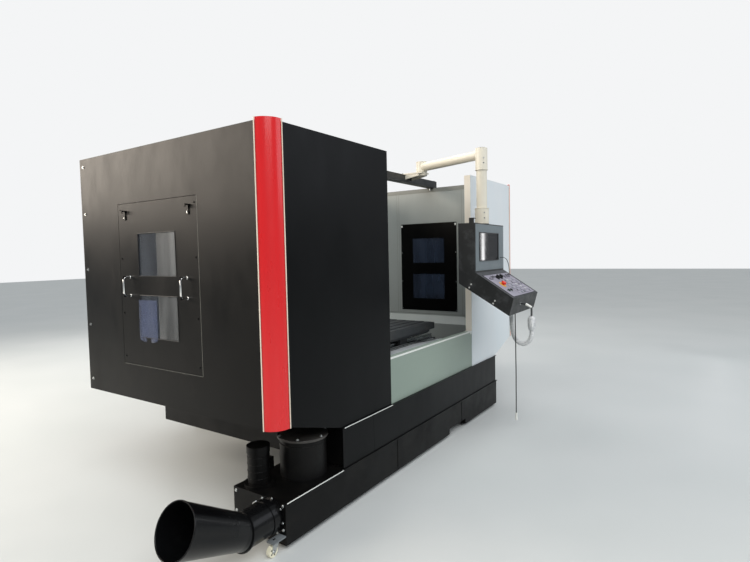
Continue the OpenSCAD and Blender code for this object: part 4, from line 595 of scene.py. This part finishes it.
def hatches():
    # Half of a bow handle: x, and the distance from the handle's end
    low, high, reach = 1.31, 1.44, SIDE_X + 0.045
    foot = [(SIDE_X, 0.006), (reach - 0.016, 0.006), (reach - 0.005, 0.0105), (reach, 0.022)]
    bow = [(x, low + d) for x, d in foot] + [(x, high - d) for x, d in foot[::-1]]
    window_feet = (1.055, 1.44)
    for side, hand in ((-1, "left"), (1, "right")):
        s = Shape()
        for y in (0.67, 1.25):
            s.tube([at(side * x, y, z) for x, z in bow], 0.0068, "polished", 14)
            for z in (low + 0.006, high - 0.006):
                s.rod(at(side * SIDE_X, y, z), at(side * (SIDE_X + 0.003), y, z), 0.0095, "polished", 20)
        s.done(f"pull_handles_{hand}", f"hatch_{hand}", ZINC)
        s = Shape()
        # Rubber seals round the two windows
        for z0 in window_feet:
            seal = [at(side * SIDE_X, y, z) for y, z in rect(0.77, z0, 0.38, 0.265)]
            s.tube(seal, 0.0032, "cord_black", 8, closed=True)
        # Screws of the two hooks and along the upright edges
        s.bolts([side * (SIDE_X + 0.006)], (0.64, 1.28), [1.808], (side, 0, 0), 0.004)
        s.bolts([side * SIDE_X], (0.585, 1.335), (0.92, 1.2, 1.55, 1.86), (side, 0, 0), 0.0045, "black_paint")
        s.done(f"hatch_trim_{hand}", f"hatch_{hand}", "cord_black")
    s = Shape()
    # Pale strips beside the hatches' front and lower gaps: the bare sheet edge, drawn only on these two gaps as
    # a painted highlight where the edges face the light
    for side in BOTH:
        sunk, proud = side * (SIDE_X - 0.0005), side * (SIDE_X + 0.0006)
        s.box((sunk, 0.5596, 0.872), (proud, 0.5612, 1.898), "seam_grey")
        s.box((sunk, 0.562, 0.8696), (proud, 1.358, 0.8708), "seam_grey")
    s.done("hatch_gap_edges_and_highlights", "machine", "black_paint")
    s = Shape()
    # Left hatch: a pale film on the front half of both panes, and a bluish one that hangs at the lower
    for z in window_feet:
        s.box((-1.7924, 0.775, z + 0.003), (-1.792, 0.962, z + 0.262), "pale_film")
    s.done("pane_films", "hatch_left", "window_pane")
    rows, top, thick = [], 1.29, 0.0004
    for i in range(13):
        t = i / 12
        x, y0 = -(SIDE_X + 0.0006 + 0.002 * sin(t * 9)), 0.975 + 0.19 * t
        y1, z1 = y0 + 0.004, 1.045 - 0.018 * sin(t * pi) ** 0.5
        rows.append([at(x, y0, top), at(x - thick, y0, top), at(x - thick, y1, z1), at(x, y1, z1)])
    Shape().loft(rows, "blue_film").done("hanging_film", "hatch_left", "window_pane")
    s = Shape()
    # Corner clips of the inner hatches
    for side in BOTH:
        for y in (0.432, 1.078):
            s.box((side * (WALL_X - 0.0065), y - 0.008, 1.83), (side * (WALL_X - 0.003), y + 0.008, 1.852),
                  "edge_white")
    s.done("hatch_clips", "machine", "black_paint", bevel=0.001)


def front():
    s = Shape()
    # Pale edge film along the sill, and pale strips painted as the highlights on the skirt's top edge and the
    # tank's rim
    s.box((-OPEN_X, 0.003, SILL_TOP - 0.008), (OPEN_X, 0.0052, SILL_TOP + 0.0005), "edge_white")
    s.box((-OPEN_X, 0.004, SILL_TOP), (OPEN_X, 0.014, SILL_TOP + 0.0016), "edge_white")
    # Painted highlights: along the skirt's top edge, and along the left part of the tank's rim
    s.box((-1.235, -0.013, 0.506), (-OPEN_X, -0.0118, 0.5105), "edge_white")
    s.box((-1.735, -0.0093, 0.2505), (-1.25, -0.0078, 0.2556), "edge_white")
    # Film on the right panel's fold, and a bit of tape where it meets the sill
    s.box((OPEN_X - 0.0012, 0.001, SILL_TOP + 0.002), (OPEN_X - 0.0002, 0.059, PANEL_TOP - 0.002), "jamb_film")
    s.box((OPEN_X - 0.035, 0.003, SILL_TOP + 0.0002), (OPEN_X - 0.001, 0.058, SILL_TOP + 0.0009), "edge_white")
    s.box((OPEN_X - 0.026, 0.0025, SILL_TOP - 0.024), (OPEN_X - 0.001, 0.0045, SILL_TOP + 0.0009), "edge_white")
    # Film on the apron's left edge
    s.box((-OPEN_X, 0.0036, 0.512), (0.0035 - OPEN_X, 0.0051, SILL_TOP - 0.001), "edge_white")
    s.done("edge_films_and_highlights", "machine", "black_paint")
    s = Shape()
    # Weld seams of the tank's front and bolts of its left end
    for x in (-0.62, 0.45):
        s.rod(at(x, -0.0005, 0.03), at(x, -0.0005, 0.25), 0.003, "tank_black", 8)
    for y, z in ((0.02, 0.235), (0.02, 0.15), (0.02, 0.105), (0.38, 0.235), (0.38, 0.12)):
        s.bolt(at(TANK_END, y, z), (-1, 0, 0), 0.006)
    # Drain plug at the back
    s.rod(at(-1.2, TANK_BACK, 0.08), at(-1.2, TANK_BACK + 0.018, 0.08), 0.019, ZINC, 6)
    s.rod(at(-1.2, TANK_BACK + 0.018, 0.08), at(-1.2, TANK_BACK + 0.03, 0.08), 0.011, ZINC, 4)
    s.done("tank_fittings", "machine", "black_paint")


def spout():
    s = Shape()
    # Screws of the collar
    for p in circle(at(TANK_END - 0.006, SPOUT_Y, SPOUT_Z), 0.097, 8, SIDEWAYS, 0.2):
        s.bolt(p, (-1, 0, 0), 0.0045)
    # Rolled rim at the mouth, square to the flared cone that leads up from the mitre
    flare = Vector((-0.372, 0, 0.18))
    axis, u = flare.normalized(), Vector((0, 1, 0))
    v = axis.cross(u)
    mouth = at(-1.946, SPOUT_Y, SPOUT_Z) + flare - axis * 0.004
    rim = [mouth + 0.1265 * (cos(a) * u + sin(a) * v) for a in angles(40)]
    s.tube(rim, 0.0035, "spout_black", 8, closed=True)
    # Clamp screw on the band
    s.rod(at(-1.785, SPOUT_Y + 0.06, SPOUT_Z + 0.077), at(-1.785, SPOUT_Y + 0.085, SPOUT_Z + 0.06), 0.004,
          ZINC)
    s.done("spout_trim", "machine", "black_paint")


def filter_lid():
    """A domed rim and clamp knobs on the filter pot's lid."""
    x, y, _ = middle("filter_pot")
    s = Shape()
    # Radius and height of the lid's outline
    rim = ((0.1503, 0.4774), (0.1512, 0.479), (0.1512, 0.4885), (0.1495, 0.4915), (0.132, 0.4921),
           (0.128, 0.4936), (0.04, 0.4946), (0.012, 0.4948))
    s.loft([circle(at(x, y, z), r, 64) for r, z in rim], "lid_steel")
    for p in circle(at(x, y, 0.4955), 0.141, 6, start=radians(30)):
        s.bolt(p, (0, 0, 1), 0.007)
    # The pot's band, and the rings of the pump motor
    s.hoop(at(x, y, 0.45), 0.1385, 0.003, "pot_paint", 64)
    for z in (0.30, 0.34, 0.38, 0.42):
        s.hoop(at(-1.64, 0.3, z), 0.0622, 0.0022, "tank_black", 40)
    s.done("filter_lid", "machine", "pot_paint")


def casters():
    for name in ("front", "rear"):
        hub = at(*middle(f"caster_wheel_{name}"))
        s = Shape()
        # Nuts on the axle's ends, and the ring under the swivel's plate
        for d in BOTH:
            s.rod(hub + Vector((0, d * 0.0145, 0)), hub + Vector((0, d * 0.0185, 0)), 0.0065, ZINC, 6)
        swivel = hub + Vector((0.018, 0, 0.0365))
        s.rod(swivel, swivel + Vector((0, 0, 0.004)), 0.0215, ZINC, 24)
        s.done(f"caster_nuts_{name}", f"fork_{name}", ZINC)
        s = Shape()
        # Five dark plugs in the wheel's disc, and a bead round its tread
        for p in circle(hub, 0.018, 5, FACING):
            s.rod(p - Vector((0, 0.0114, 0)), p + Vector((0, 0.0114, 0)), 0.004, "cord_black", 10)
        s.hoop(hub, 0.0287, 0.0012, "wheel_plastic", 32, plane=FACING)
        s.done(f"wheel_trim_{name}", f"wheel_{name}", "wheel_plastic")


def on_face(s, bar, proud, mat):
    """A flat strip on the pendant's upright face."""
    (x0, z0), (x1, z1) = bar[0], bar[2]
    s.loft([[pen(x, y, z) for x, y in ((x0, FACE_Y - proud), (x1, FACE_Y - proud), (x1, FACE_Y + 0.001),
                                       (x0, FACE_Y + 0.001))] for z in (z0, z1)], mat)


# The two override knobs and the row they stand in, in the key slope's measure
FEED_X, SPEED_X, DIAL_Y = -0.121, -0.044, 0.256


def pendant():
    s = Shape()
    # Four pale screws on each side
    for x, d in ((PEN_LEFT, -1), (PEN_RIGHT, 1)):
        for y, z in ((-0.049, 1.294), (-0.033, 1.268), (-0.24, 1.17), (-0.226, 1.148)):
            s.rod(pen(x, y, z), pen(x + d * 0.0025, y, z), 0.0062, "plug_white", 18)
            s.rod(pen(x + d * 0.0025, y, z), pen(x + d * 0.0035, y, z), 0.0035, ZINC, 6)
    # Pale plug on a short dark stem out of the front edge
    plug_x = -0.17
    s.rod(pen(plug_x, -0.362, 1.137), pen(plug_x, -0.376, 1.135), 0.013, ZINC, 6)
    s.rod(pen(plug_x, -0.374, 1.135), pen(plug_x, -0.418, 1.129), 0.005, BLACK, 16)
    s.rod(pen(plug_x, -0.416, 1.13), pen(plug_x, -0.46, 1.107), 0.0105, "plug_white", 20, 0.0085)
    s.done("pendant_screws", "pendant", "plug_white")
    s = Shape()
    # Bezel round the screen, and the dark edge round the key sheet
    for bar in border(-0.297, 1.478, 0.153, 1.698, 0.006):
        on_face(s, bar, 0.004, BLACK)
    for bar in border(-0.335, 0.018, 0.25, 0.3058, 0.006):
        s.plate(bar, -0.0002, 0.0036, BLACK, SLOPE)
    s.done("screen_bezel", "pendant", BLACK, bevel=0.001)
    s = Shape()
    # Grey plate that frames the key sheet
    for bar in (rect(-0.38, 0.004, 0.038, 0.349), rect(0.257, 0.004, 0.038, 0.349),
                rect(-0.342, 0.004, 0.599, 0.0075), rect(-0.342, 0.3125, 0.599, 0.0405)):
        s.plate(bar, -0.0002, 0.0012, "slope_plate", SLOPE)
    s.done("slope_plate", "pendant", "pendant_paint")
    s = Shape()
    # Key caps: mostly pale, with some grey, white, black and green ones
    tints = {2: "face_sheet", 5: "face_sheet", 9: "edge_white"}
    wide, pitch_x, pitch_y = 0.019, 0.032, 0.033
    for i in range(11):
        for j in range(6):
            mat = tints.get((i + j) % 11, "key_cap")
            if (i + 3 * j) % 13 == 4:
                mat = BLACK
            if (i, j) in ((9, 0), (10, 3)):
                mat = "green_plastic"
            cap = rect(i * pitch_x - 0.1285, 0.0335 + j * pitch_y, wide, wide)
            s.plate(cap, 0.0058, 0.0074, mat, SLOPE)
    s.done("key_caps", "pendant", "key_sheet", bevel=0.0006)
    s = Shape()
    # Collar of the emergency stop, scales of the knobs, collars of the buttons
    s.plate(disc(-0.212, 0.168, 0.032), 0.0028, 0.0054, "yellow_plastic", SLOPE)
    for x in (FEED_X, SPEED_X):
        s.plate(disc(x, DIAL_Y, 0.0265), 0.0029, 0.0032, BLACK, SLOPE)
        for k in range(11):
            a = radians(225 - 27 * k)
            dot = disc(x + 0.0305 * cos(a), DIAL_Y + 0.0305 * sin(a), 0.0013, 6)
            s.plate(dot, 0.0029, 0.0034, BLACK, SLOPE)
    for x in (-0.271, -0.212):
        s.plate(disc(x, 0.089, 0.0165), 0.0029, 0.0062, ZINC, SLOPE)
    # Small selector switches: collar, grip and pale line
    for x in (-0.29, -0.252, 0.07, 0.12, 0.17):
        s.plate(disc(x, DIAL_Y, 0.0128), 0.0029, 0.006, BLACK, SLOPE)
        s.plate(rect(x - 0.0035, DIAL_Y - 0.0105, 0.007, 0.021), 0.0209, 0.026, BLACK, SLOPE)
        s.plate(rect(x - 0.0007, DIAL_Y + 0.001, 0.0014, 0.009), 0.026, 0.0264, "plug_white", SLOPE)
    s.done("dial_rings", "pendant", BLACK, bevel=0.0006)
    # Pale line and grip ribs of the override knobs
    for name, x in (("feed", FEED_X), ("speed", SPEED_X)):
        line = rect(x - 0.0009, DIAL_Y + 0.0095, 0.0018, 0.0085)
        s = Shape().plate(line, 0.0279, 0.0285, "plug_white", SLOPE)
        for p in circle((x, DIAL_Y, 0), 0.0147, 12):
            s.rod(SLOPE @ (p + Vector((0, 0, 0.0125))), SLOPE @ (p + Vector((0, 0, 0.0255))), 0.0013,
                  BLACK, 8)
        s.done(f"{name}_mark", f"{name}_dial", BLACK)


def boom():
    s = Shape()
    # Dark cap of the elbow, rings round the elbow, the collar and the hub
    s.rod(at(*DROP, 2.4165), at(*DROP, 2.4215), 0.036, BLACK, 32)
    for axis, z, r in ((DROP, 2.2345, 0.0512), (DROP, 1.9125, 0.0592), (DROP, 1.786, 0.0592),
                       (PIVOT, 2.324, 0.0522), (PIVOT, 2.414, 0.0522)):
        s.hoop(at(*axis, z), r, 0.0022, "cream_paint", 36)
    # Clamp screws of the collar and the elbow
    for z, r in ((1.83, 0.058), (1.875, 0.058), (2.29, 0.05), (2.33, 0.05)):
        for a in (-2.4, 0.75):
            out = Vector((cos(a), sin(a), 0))
            p = at(*DROP, z) + r * out
            s.rod(p, p + 0.004 * out, 0.006, ZINC, 6)
    s.done("boom_rings", "boom", "cream_paint")
    s = Shape()
    s.bolts((PIVOT[0] - 0.05, PIVOT[0] + 0.05), [BEAM_Y], [2.315], (0, 0, 1), 0.0085)
    s.done("bracket_bolts", "machine", ZINC)


def inside():
    s = Shape()
    # Seams and top rails of the inner walls, the beam's bolts and pins, the inner hatches' screws
    front_y, back_y = 0.062, 1.498
    for side in BOTH:
        proud, sunk = side * (WALL_X - 0.0007), side * (WALL_X + 0.0003)
        for y in (0.36, 1.115, 1.14):
            s.box((proud, y, 0.895), (sunk, y + 0.0025, 2.19), "seam_grey")
        s.box((proud, front_y, 0.8885), (sunk, back_y, 0.8925), "seam_grey")
        s.box((side * (WALL_X - 0.0015), front_y, 2.192), (sunk, back_y, 2.2335), "seam_grey")
        s.bolts([side * 1.32], (BEAM_Y - 0.025, BEAM_Y + 0.025), [BEAM_TOP], (0, 0, 1), 0.008)
        s.rod(at(side * 1.272, BEAM_Y, 2.236), at(side * 1.272, BEAM_Y, 2.205), 0.006, ZINC, 12)
        for y in (0.43, 1.08):
            for z in (0.94, 1.24, 1.55):
                head = at(side * (WALL_X - 0.003), y, z)
                s.rod(head, head - Vector((side * 0.0015, 0, 0)), 0.006, ZINC, 14)
    s.done("wall_seams", "machine", "liner_paint")
    s = Shape()
    # Grey liners over the folds that lead into the chip pan
    for side in BOTH:
        line = [(1.2905, 0.874), (1.2207, 0.7995), (1.2207, 0.626)]
        back = [(x - 0.0012, z - 0.0004) for x, z in line]
        s.loft([[at(side * x, y, z) for x, z in line + back[::-1]] for y in (0.061, 1.495)], "liner_paint")
    s.done("chute_liners", "machine", "liner_paint")
    s = Shape()
    # Upright seams of the rear wall
    for x in (-1.1, -0.85, 0.85, 1.1):
        s.box((x, REAR_WALL_Y - 0.0025, 0.81), (x + 0.0025, REAR_WALL_Y + 0.0005, 2.225), "seam_grey")
    s.done("rear_seams", "machine", "liner_paint")


def cover_lip(name, node, body):
    """A rubber wiper along a way cover plate's rear lip, and the rivets before it."""
    w, y, top = corners(node)[1]
    drop, h = 0.03, 0.0012
    under = [(-w, top - drop), (-w / 3, top), (w / 3, top), (w, top - drop)]
    upright = Matrix(((1, 0, 0, 0), (0, 0, -1, 0), (0, 1, 0, 0), (0, 0, 0, 1)))
    s = Shape().plate(under + [(x, z + h) for x, z in under[::-1]], 0, 0.012, "cord_black",
                      Matrix.Translation(at(0, y, 0)) @ upright)
    # Beyond its flat middle the plate falls
    flat, fall = 0.267, 0.05625
    for x in (-0.72, -0.45, -0.15, 0.15, 0.45, 0.72):
        z = top - max(0, (abs(x) - flat) * fall)
        s.rod(at(x, y - 0.018, z - 0.001), at(x, y - 0.018, z + 0.0014), 0.004, ZINC, 12)
    s.done(name, body, "plate_steel")


def round_spindle(r, a, z):
    """The point at radius r and angle a round the spindle's axis."""
    return at(r * cos(a), AXIS_Y + r * sin(a), z)


def axes():
    cover_lip("cover_lip_1", "way_cover_1", "machine")
    cover_lip("cover_lip_2", "way_cover_2", "cover_plate")
    s = Shape()
    # Segmented coolant hoses round the cartridge: blue links, then the orange nozzle
    for a in (2.35, 2.95, 0.2, 0.8):
        bends = ((0.098, 1.445), (0.112, 1.43), (0.112, 1.412), (0.095, 1.397))
        pts = smooth_path([round_spindle(r, a, z) for r, z in bends], 4)
        for i, (p, q) in enumerate(zip(pts, pts[1:])):
            s.rod(p, q, 0.0085, "link_orange" if i > 9 else "link_blue", 14, 0.0068 if i < 10 else 0.004)
    # Screws round the cartridge
    for a in (0.4, 1.45, 2.5, 3.55, 4.6, 5.65):
        s.rod(round_spindle(0.088, a, 1.4402), round_spindle(0.088, a, 1.434), 0.006, ZINC, 6)
    s.done("coolant_hoses", "head_body", "ground_steel")
    s = Shape()
    # Covers on the head's flanks and front, with their screws
    flank, front_y = 0.1915, 0.7632
    for side in BOTH:
        s.box((side * (flank - 0.002), 0.86, 1.6), (side * flank, 1.36, 1.9), "head_paint")
        s.bolts([side * flank], (0.88, 1.11, 1.34), (1.62, 1.88), (side, 0, 0), 0.0045)
    s.box((-0.15, front_y, 1.59), (0.15, front_y + 0.0023, 1.87), "head_paint")
    s.bolts((-0.135, 0.135), [front_y], (1.605, 1.855), (0, -1, 0), 0.0045)
    s.done("head_covers", "head_body", "head_paint", bevel=0.001)
    s = Shape()
    # Fins on the spindle motor's four faces, left out where its connector sits
    near, far, foot, top = 0.109, 0.1148, 2.0, 2.235
    for i in range(-4, 5):
        t = i * 0.0225
        for side in BOTH:
            s.box((t - 0.002, AXIS_Y + side * near, foot), (t + 0.002, AXIS_Y + side * far, top), "motor_paint")
            if side < 0 or abs(i) > 2:
                s.box((side * near, AXIS_Y + t - 0.002, foot), (side * far, AXIS_Y + t + 0.002, top),
                      "motor_paint")
    # Rings and bars of the fan grille, and the bolts of the motor's foot
    for r in (0.02, 0.042, 0.064, 0.086):
        s.hoop(at(0, AXIS_Y, 2.3015), r, 0.0018, ZINC, 40, 6)
    for a in angles(8)[:4]:
        s.rod(round_spindle(-0.09, a, 2.302), round_spindle(0.09, a, 2.302), 0.0016, ZINC, 8)
    s.bolts((-0.108, 0.108), (AXIS_Y - 0.108, AXIS_Y + 0.108), [1.99], (0, 0, 1), 0.007)
    s.done("motor_fins", "head_body", "motor_paint")
    s = Shape()
    # Lifting eyes of the saddle
    for x in (-0.8, 0.8):
        for y in (0.5, 0.82):
            s.hoop(at(x, y, 0.738), 0.016, 0.0045, ZINC, 20, plane=FACING)
            s.rod(at(x, y, 0.7198), at(x, y, 0.7235), 0.012, ZINC, 20)
    s.done("saddle_eyes", "saddle_body", "ground_steel")
    s = Shape()
    # Low bolts on the ends of the table
    for side in BOTH:
        s.bolts([side * TABLE_X], (0.41, 0.51, 0.61, 0.71, 0.81, 0.91), [0.862], (side, 0, 0), 0.0055, h=0.003)
    s.done("table_bolts", "table_body", "dark_casting")


def magazine():
    s = Shape()
    hub = middle("magazine_disc")
    # Screws of the pots, and a rim round each pot's mouth
    for p in circle(at(*hub), 0.262, 24, SIDEWAYS):
        s.rod(p - Vector((0.0105, 0, 0)), p - Vector((0.0135, 0, 0)), 0.0045, ZINC, 6)
    for p in circle(at(*hub), 0.3, 24, SIDEWAYS):
        s.hoop(p - Vector((0.0845, 0, 0)), 0.0295, 0.0016, ZINC, 24, 6, SIDEWAYS)
    # Bolts of the hub
    for p in circle(at(*hub), 0.075, 6, SIDEWAYS):
        s.bolt(p - Vector((0.01, 0, 0)), (-1, 0, 0), 0.008)
    s.done("disc_screws", "magazine", "ground_steel")
    s = Shape()
    # Bolts of the round cover, of the carrier and of the change arm's gearbox
    for p in circle(at(-0.414, hub.y, hub.z), 0.345, 12, SIDEWAYS, 0.1):
        s.bolt(p, (1, 0, 0), 0.005)
    s.bolts([-0.39], (1.0, 1.3, 1.6), (1.88, 2.08), (-1, 0, 0), 0.008)
    s.bolts((-0.35, -0.28), (0.85, 0.95), [1.85], (0, 0, 1), 0.006)
    s.done("magazine_bolts", "machine", "grey_paint")


def rear():
    face = 2.672
    s = Shape()
    # Louvres of the door, each a hood that stands out at its lower edge
    for x in (-0.42, 0.18):
        for k in range(12):
            z = 0.56 + k * 0.028
            foot = [at(u, face + 0.0002, v) for u, v in rect(x, z, 0.24, 0.015)]
            hood = rect(x + 0.004, z + 0.001, 0.232, 0.007)
            hood = [at(u, face + 0.007 - (v - z - 0.001) / 2, v) for u, v in hood]
            s.loft([foot, hood], "cabinet_paint")
    # Lock
    s.rod(at(0.54, face, 1.42), at(0.54, face + 0.007, 1.42), 0.014, ZINC, 24)
    s.rod(at(0.54, face + 0.007, 1.42), at(0.54, face + 0.009, 1.42), 0.006, BLACK, 3)
    # Main switch: yellow plate, red handle
    s.rod(at(-0.45, face, 1.72), at(-0.45, face + 0.004, 1.72), 0.045, "yellow_plastic", 40)
    s.rod(at(-0.45, face + 0.004, 1.72), at(-0.45, face + 0.018, 1.72), 0.03, "red_plastic", 32)
    s.box((-0.458, face + 0.016, 1.685), (-0.442, face + 0.03, 1.755), "red_plastic")
    s.done("door_fittings", "door", "cabinet_paint", bevel=0.0012)
    s = Shape()
    # Slots of the fan grille, and the cabinet's lifting eyes
    for k in range(11):
        z = 1.615 + k * 0.0155
        s.box((-0.6625, 2.405, z), (-0.66, 2.555, z + 0.007), BLACK)
    for x in (-0.58, 0.58):
        for y in (2.34, 2.6):
            s.rod(at(x, y, CABINET_TOP), at(x, y, CABINET_TOP + 0.01), 0.016, ZINC, 24)
            s.hoop(at(x, y, CABINET_TOP + 0.027), 0.019, 0.005, ZINC, 24, plane=FACING)
    s.done("cabinet_fittings", "machine", "cabinet_paint")
    s = Shape()
    # Covers and lifting eyes of the column
    flank = 0.3625
    for side in BOTH:
        s.box((side * (flank - 0.003), 1.64, 1.52), (side * flank, 1.92, 1.84), "dark_casting")
        s.bolts([side * flank], (1.66, 1.9), (1.54, 1.68, 1.82), (side, 0, 0), 0.006)
        s.rod(at(side * 0.3, 1.75, 2.33), at(side * 0.3, 1.75, 2.345), 0.026, ZINC, 24)
        s.hoop(at(side * 0.3, 1.75, 2.372), 0.03, 0.008, ZINC, 28, 10, SIDEWAYS)
    s.done("column_covers", "machine", "dark_casting", bevel=0.001)


def switchgear():
    """What stands on the cabinet's back plate: wire ducts, rows on top-hat rails, drives and a transformer."""
    s = Shape()
    face = 2.3345

    def gear(x0, x1, z0, z1, near, far, mat):
        s.box((x0, face + near, z0), (x1, face + far, z1), mat)

    gear(-0.56, 0.56, 0.47, 1.97, -0.0035, 0, "plate_steel")
    # Wire ducts with the slots between the fingers along their upper edge
    for z in (0.49, 0.83, 1.13, 1.43, 1.91):
        gear(-0.545, 0.545, z, z + 0.045, 0, 0.06, "liner_paint")
        for i in range(54):
            x = -0.535 + i * 0.02
            gear(x, x + 0.008, z + 0.045, z + 0.0465, 0.03, 0.0605, "seam_grey")
    # Breakers with their levers, then contactors
    for z, n, wide, deep, mat in ((0.96, 40, 0.026, 0.066, "edge_white"), (1.27, 20, 0.052, 0.088, BLACK)):
        gear(-0.54, 0.54, z, z + 0.035, 0, 0.0075, ZINC)
        for i in range(n):
            # Each ninth place on the rail is empty
            if i % 9 == 8:
                continue
            x = -0.53 + i * (wide + 0.0005)
            x_end, lever = x + wide - 0.0015, x + wide / 2
            gear(x, x_end, z - 0.026, z + 0.06, 0.007, deep - 0.016, mat)
            gear(x, x_end, z - 0.004, z + 0.038, deep - 0.017, deep, mat)
            gear(lever - 0.004, lever + 0.003, z + 0.01, z + 0.026, deep - 0.001, deep + 0.007, "motor_paint")
    # Drives with their cooling slots and terminal strips
    for x, wide in ((-0.52, 0.19), (-0.32, 0.1), (-0.21, 0.1), (-0.1, 0.1), (0.02, 0.1), (0.2, 0.24)):
        x0, x1 = x + 0.012, x + wide - 0.012
        gear(x, x + wide, 1.51, 1.87, 0, 0.17, "cabinet_paint")
        gear(x0, x1, 1.53, 1.58, 0.17, 0.1725, "green_plastic")
        for k in range(6):
            z = 1.78 + k * 0.013
            gear(x0, x1, z, z + 0.004, 0.1695, 0.1708, BLACK)
    # Transformer on its foot
    gear(0.24, 0.5, 0.56, 0.8, 0, 0.02, ZINC)
    gear(0.28, 0.46, 0.58, 0.78, 0.02, 0.15, "dark_casting")
    # Terminals on their rail, each twelfth a green earth terminal
    gear(-0.54, 0.18, 0.65, 0.685, 0, 0.0075, ZINC)
    for i in range(76):
        x = -0.535 + i * 0.0093
        mat = "green_plastic" if i % 12 == 11 else "liner_paint"
        gear(x, x + 0.008, 0.64, 0.696, 0.007, 0.05, mat)
    s.done("switchgear", "machine", "cabinet_paint")


enclosure()
hatches()
front()
spout()
filter_lid()
casters()
pendant()
boom()
inside()
axes()
magazine()
rear()
switchgear()


def stage():
    """A plain pale floor, soft studio light, and a white background for the camera alone."""
    me = bpy.data.meshes.new("floor")
    me.from_pydata([(-40, -40, 0), (40, -40, 0), (40, 40, 0), (-40, 40, 0)], [], [(0, 1, 2, 3)])
    floor = put("floor", me)
    paint("floor", "pale_floor", "#bfc3c2", "#c5c8c7", (0.5, 0.6), patch=0.8, bump=0.0)
    me.materials.append(M["floor"])
    world = bpy.data.worlds.new("studio")
    bpy.context.scene.world = world
    world.use_nodes = True
    t = world.node_tree
    t.nodes.clear()
    soft = add(t, "Background", {"Color": rgb("#e4eaf0"), "Strength": 0.4})
    white = add(t, "Background", {"Color": rgb("#f4f5f6"), "Strength": 1.0})
    ray = add(t, "LightPath").outputs["Is Camera Ray"]
    mix = add(t, "MixShader", {0: ray, 1: soft.outputs[0], 2: white.outputs[0]})
    add(t, "OutputWorld", {"Surface": mix.outputs[0]})
    for name, wide, high, power, tint, place, aim in (
            ("sheen", 6.0, 3.6, 700, "#fff2e2", (-5.6, 6.6, 4.1), (-1.8, 1.0, 1.75)),
            ("key", 4.5, 4.5, 170, "#ffffff", (-4.5, -4.5, 5.6), (-0.6, 0.3, 1.2)),
            ("front_fill", 6.0, 4.0, 110, "#f2f6ff", (3.5, -6.5, 4.5), (0.5, 0.2, 1.0)),
            ("inside", 2.4, 1.4, 26, "#ffffff", (0.2, 0.9, 3.6), (0.2, 0.8, 0.8)),
            ("streak", 0.045, 2.6, 3.4, "#ffffff", (5.13, -1.86, 1.65), (0.3, -0.27, 1.6)),
            ("back", 5.0, 4.0, 160, "#ffffff", (4.0, 6.5, 4.0), (0, 1.5, 1.2))):
        data = bpy.data.lights.new(name, "AREA")
        data.shape, data.size, data.size_y, data.energy = "RECTANGLE", wide, high, power
        data.color = rgb(tint)[:3]
        o = put(name, data)
        o.location = at(*place)
        o.rotation_euler = (at(*aim) - at(*place)).to_track_quat("-Z", "Y").to_euler()
        o.visible_camera = False
    # Broad sky of the studio, even over the whole floor
    data = bpy.data.lights.new("broad", "SUN")
    data.energy, data.angle, data.specular_factor = 1.7, radians(60), 0.2
    o = put("broad", data)
    o.rotation_euler = Vector((0.35, 0.55, -1.0)).to_track_quat("-Z", "Y").to_euler()
    bpy.context.scene.view_settings.view_transform = "Standard"


stage()
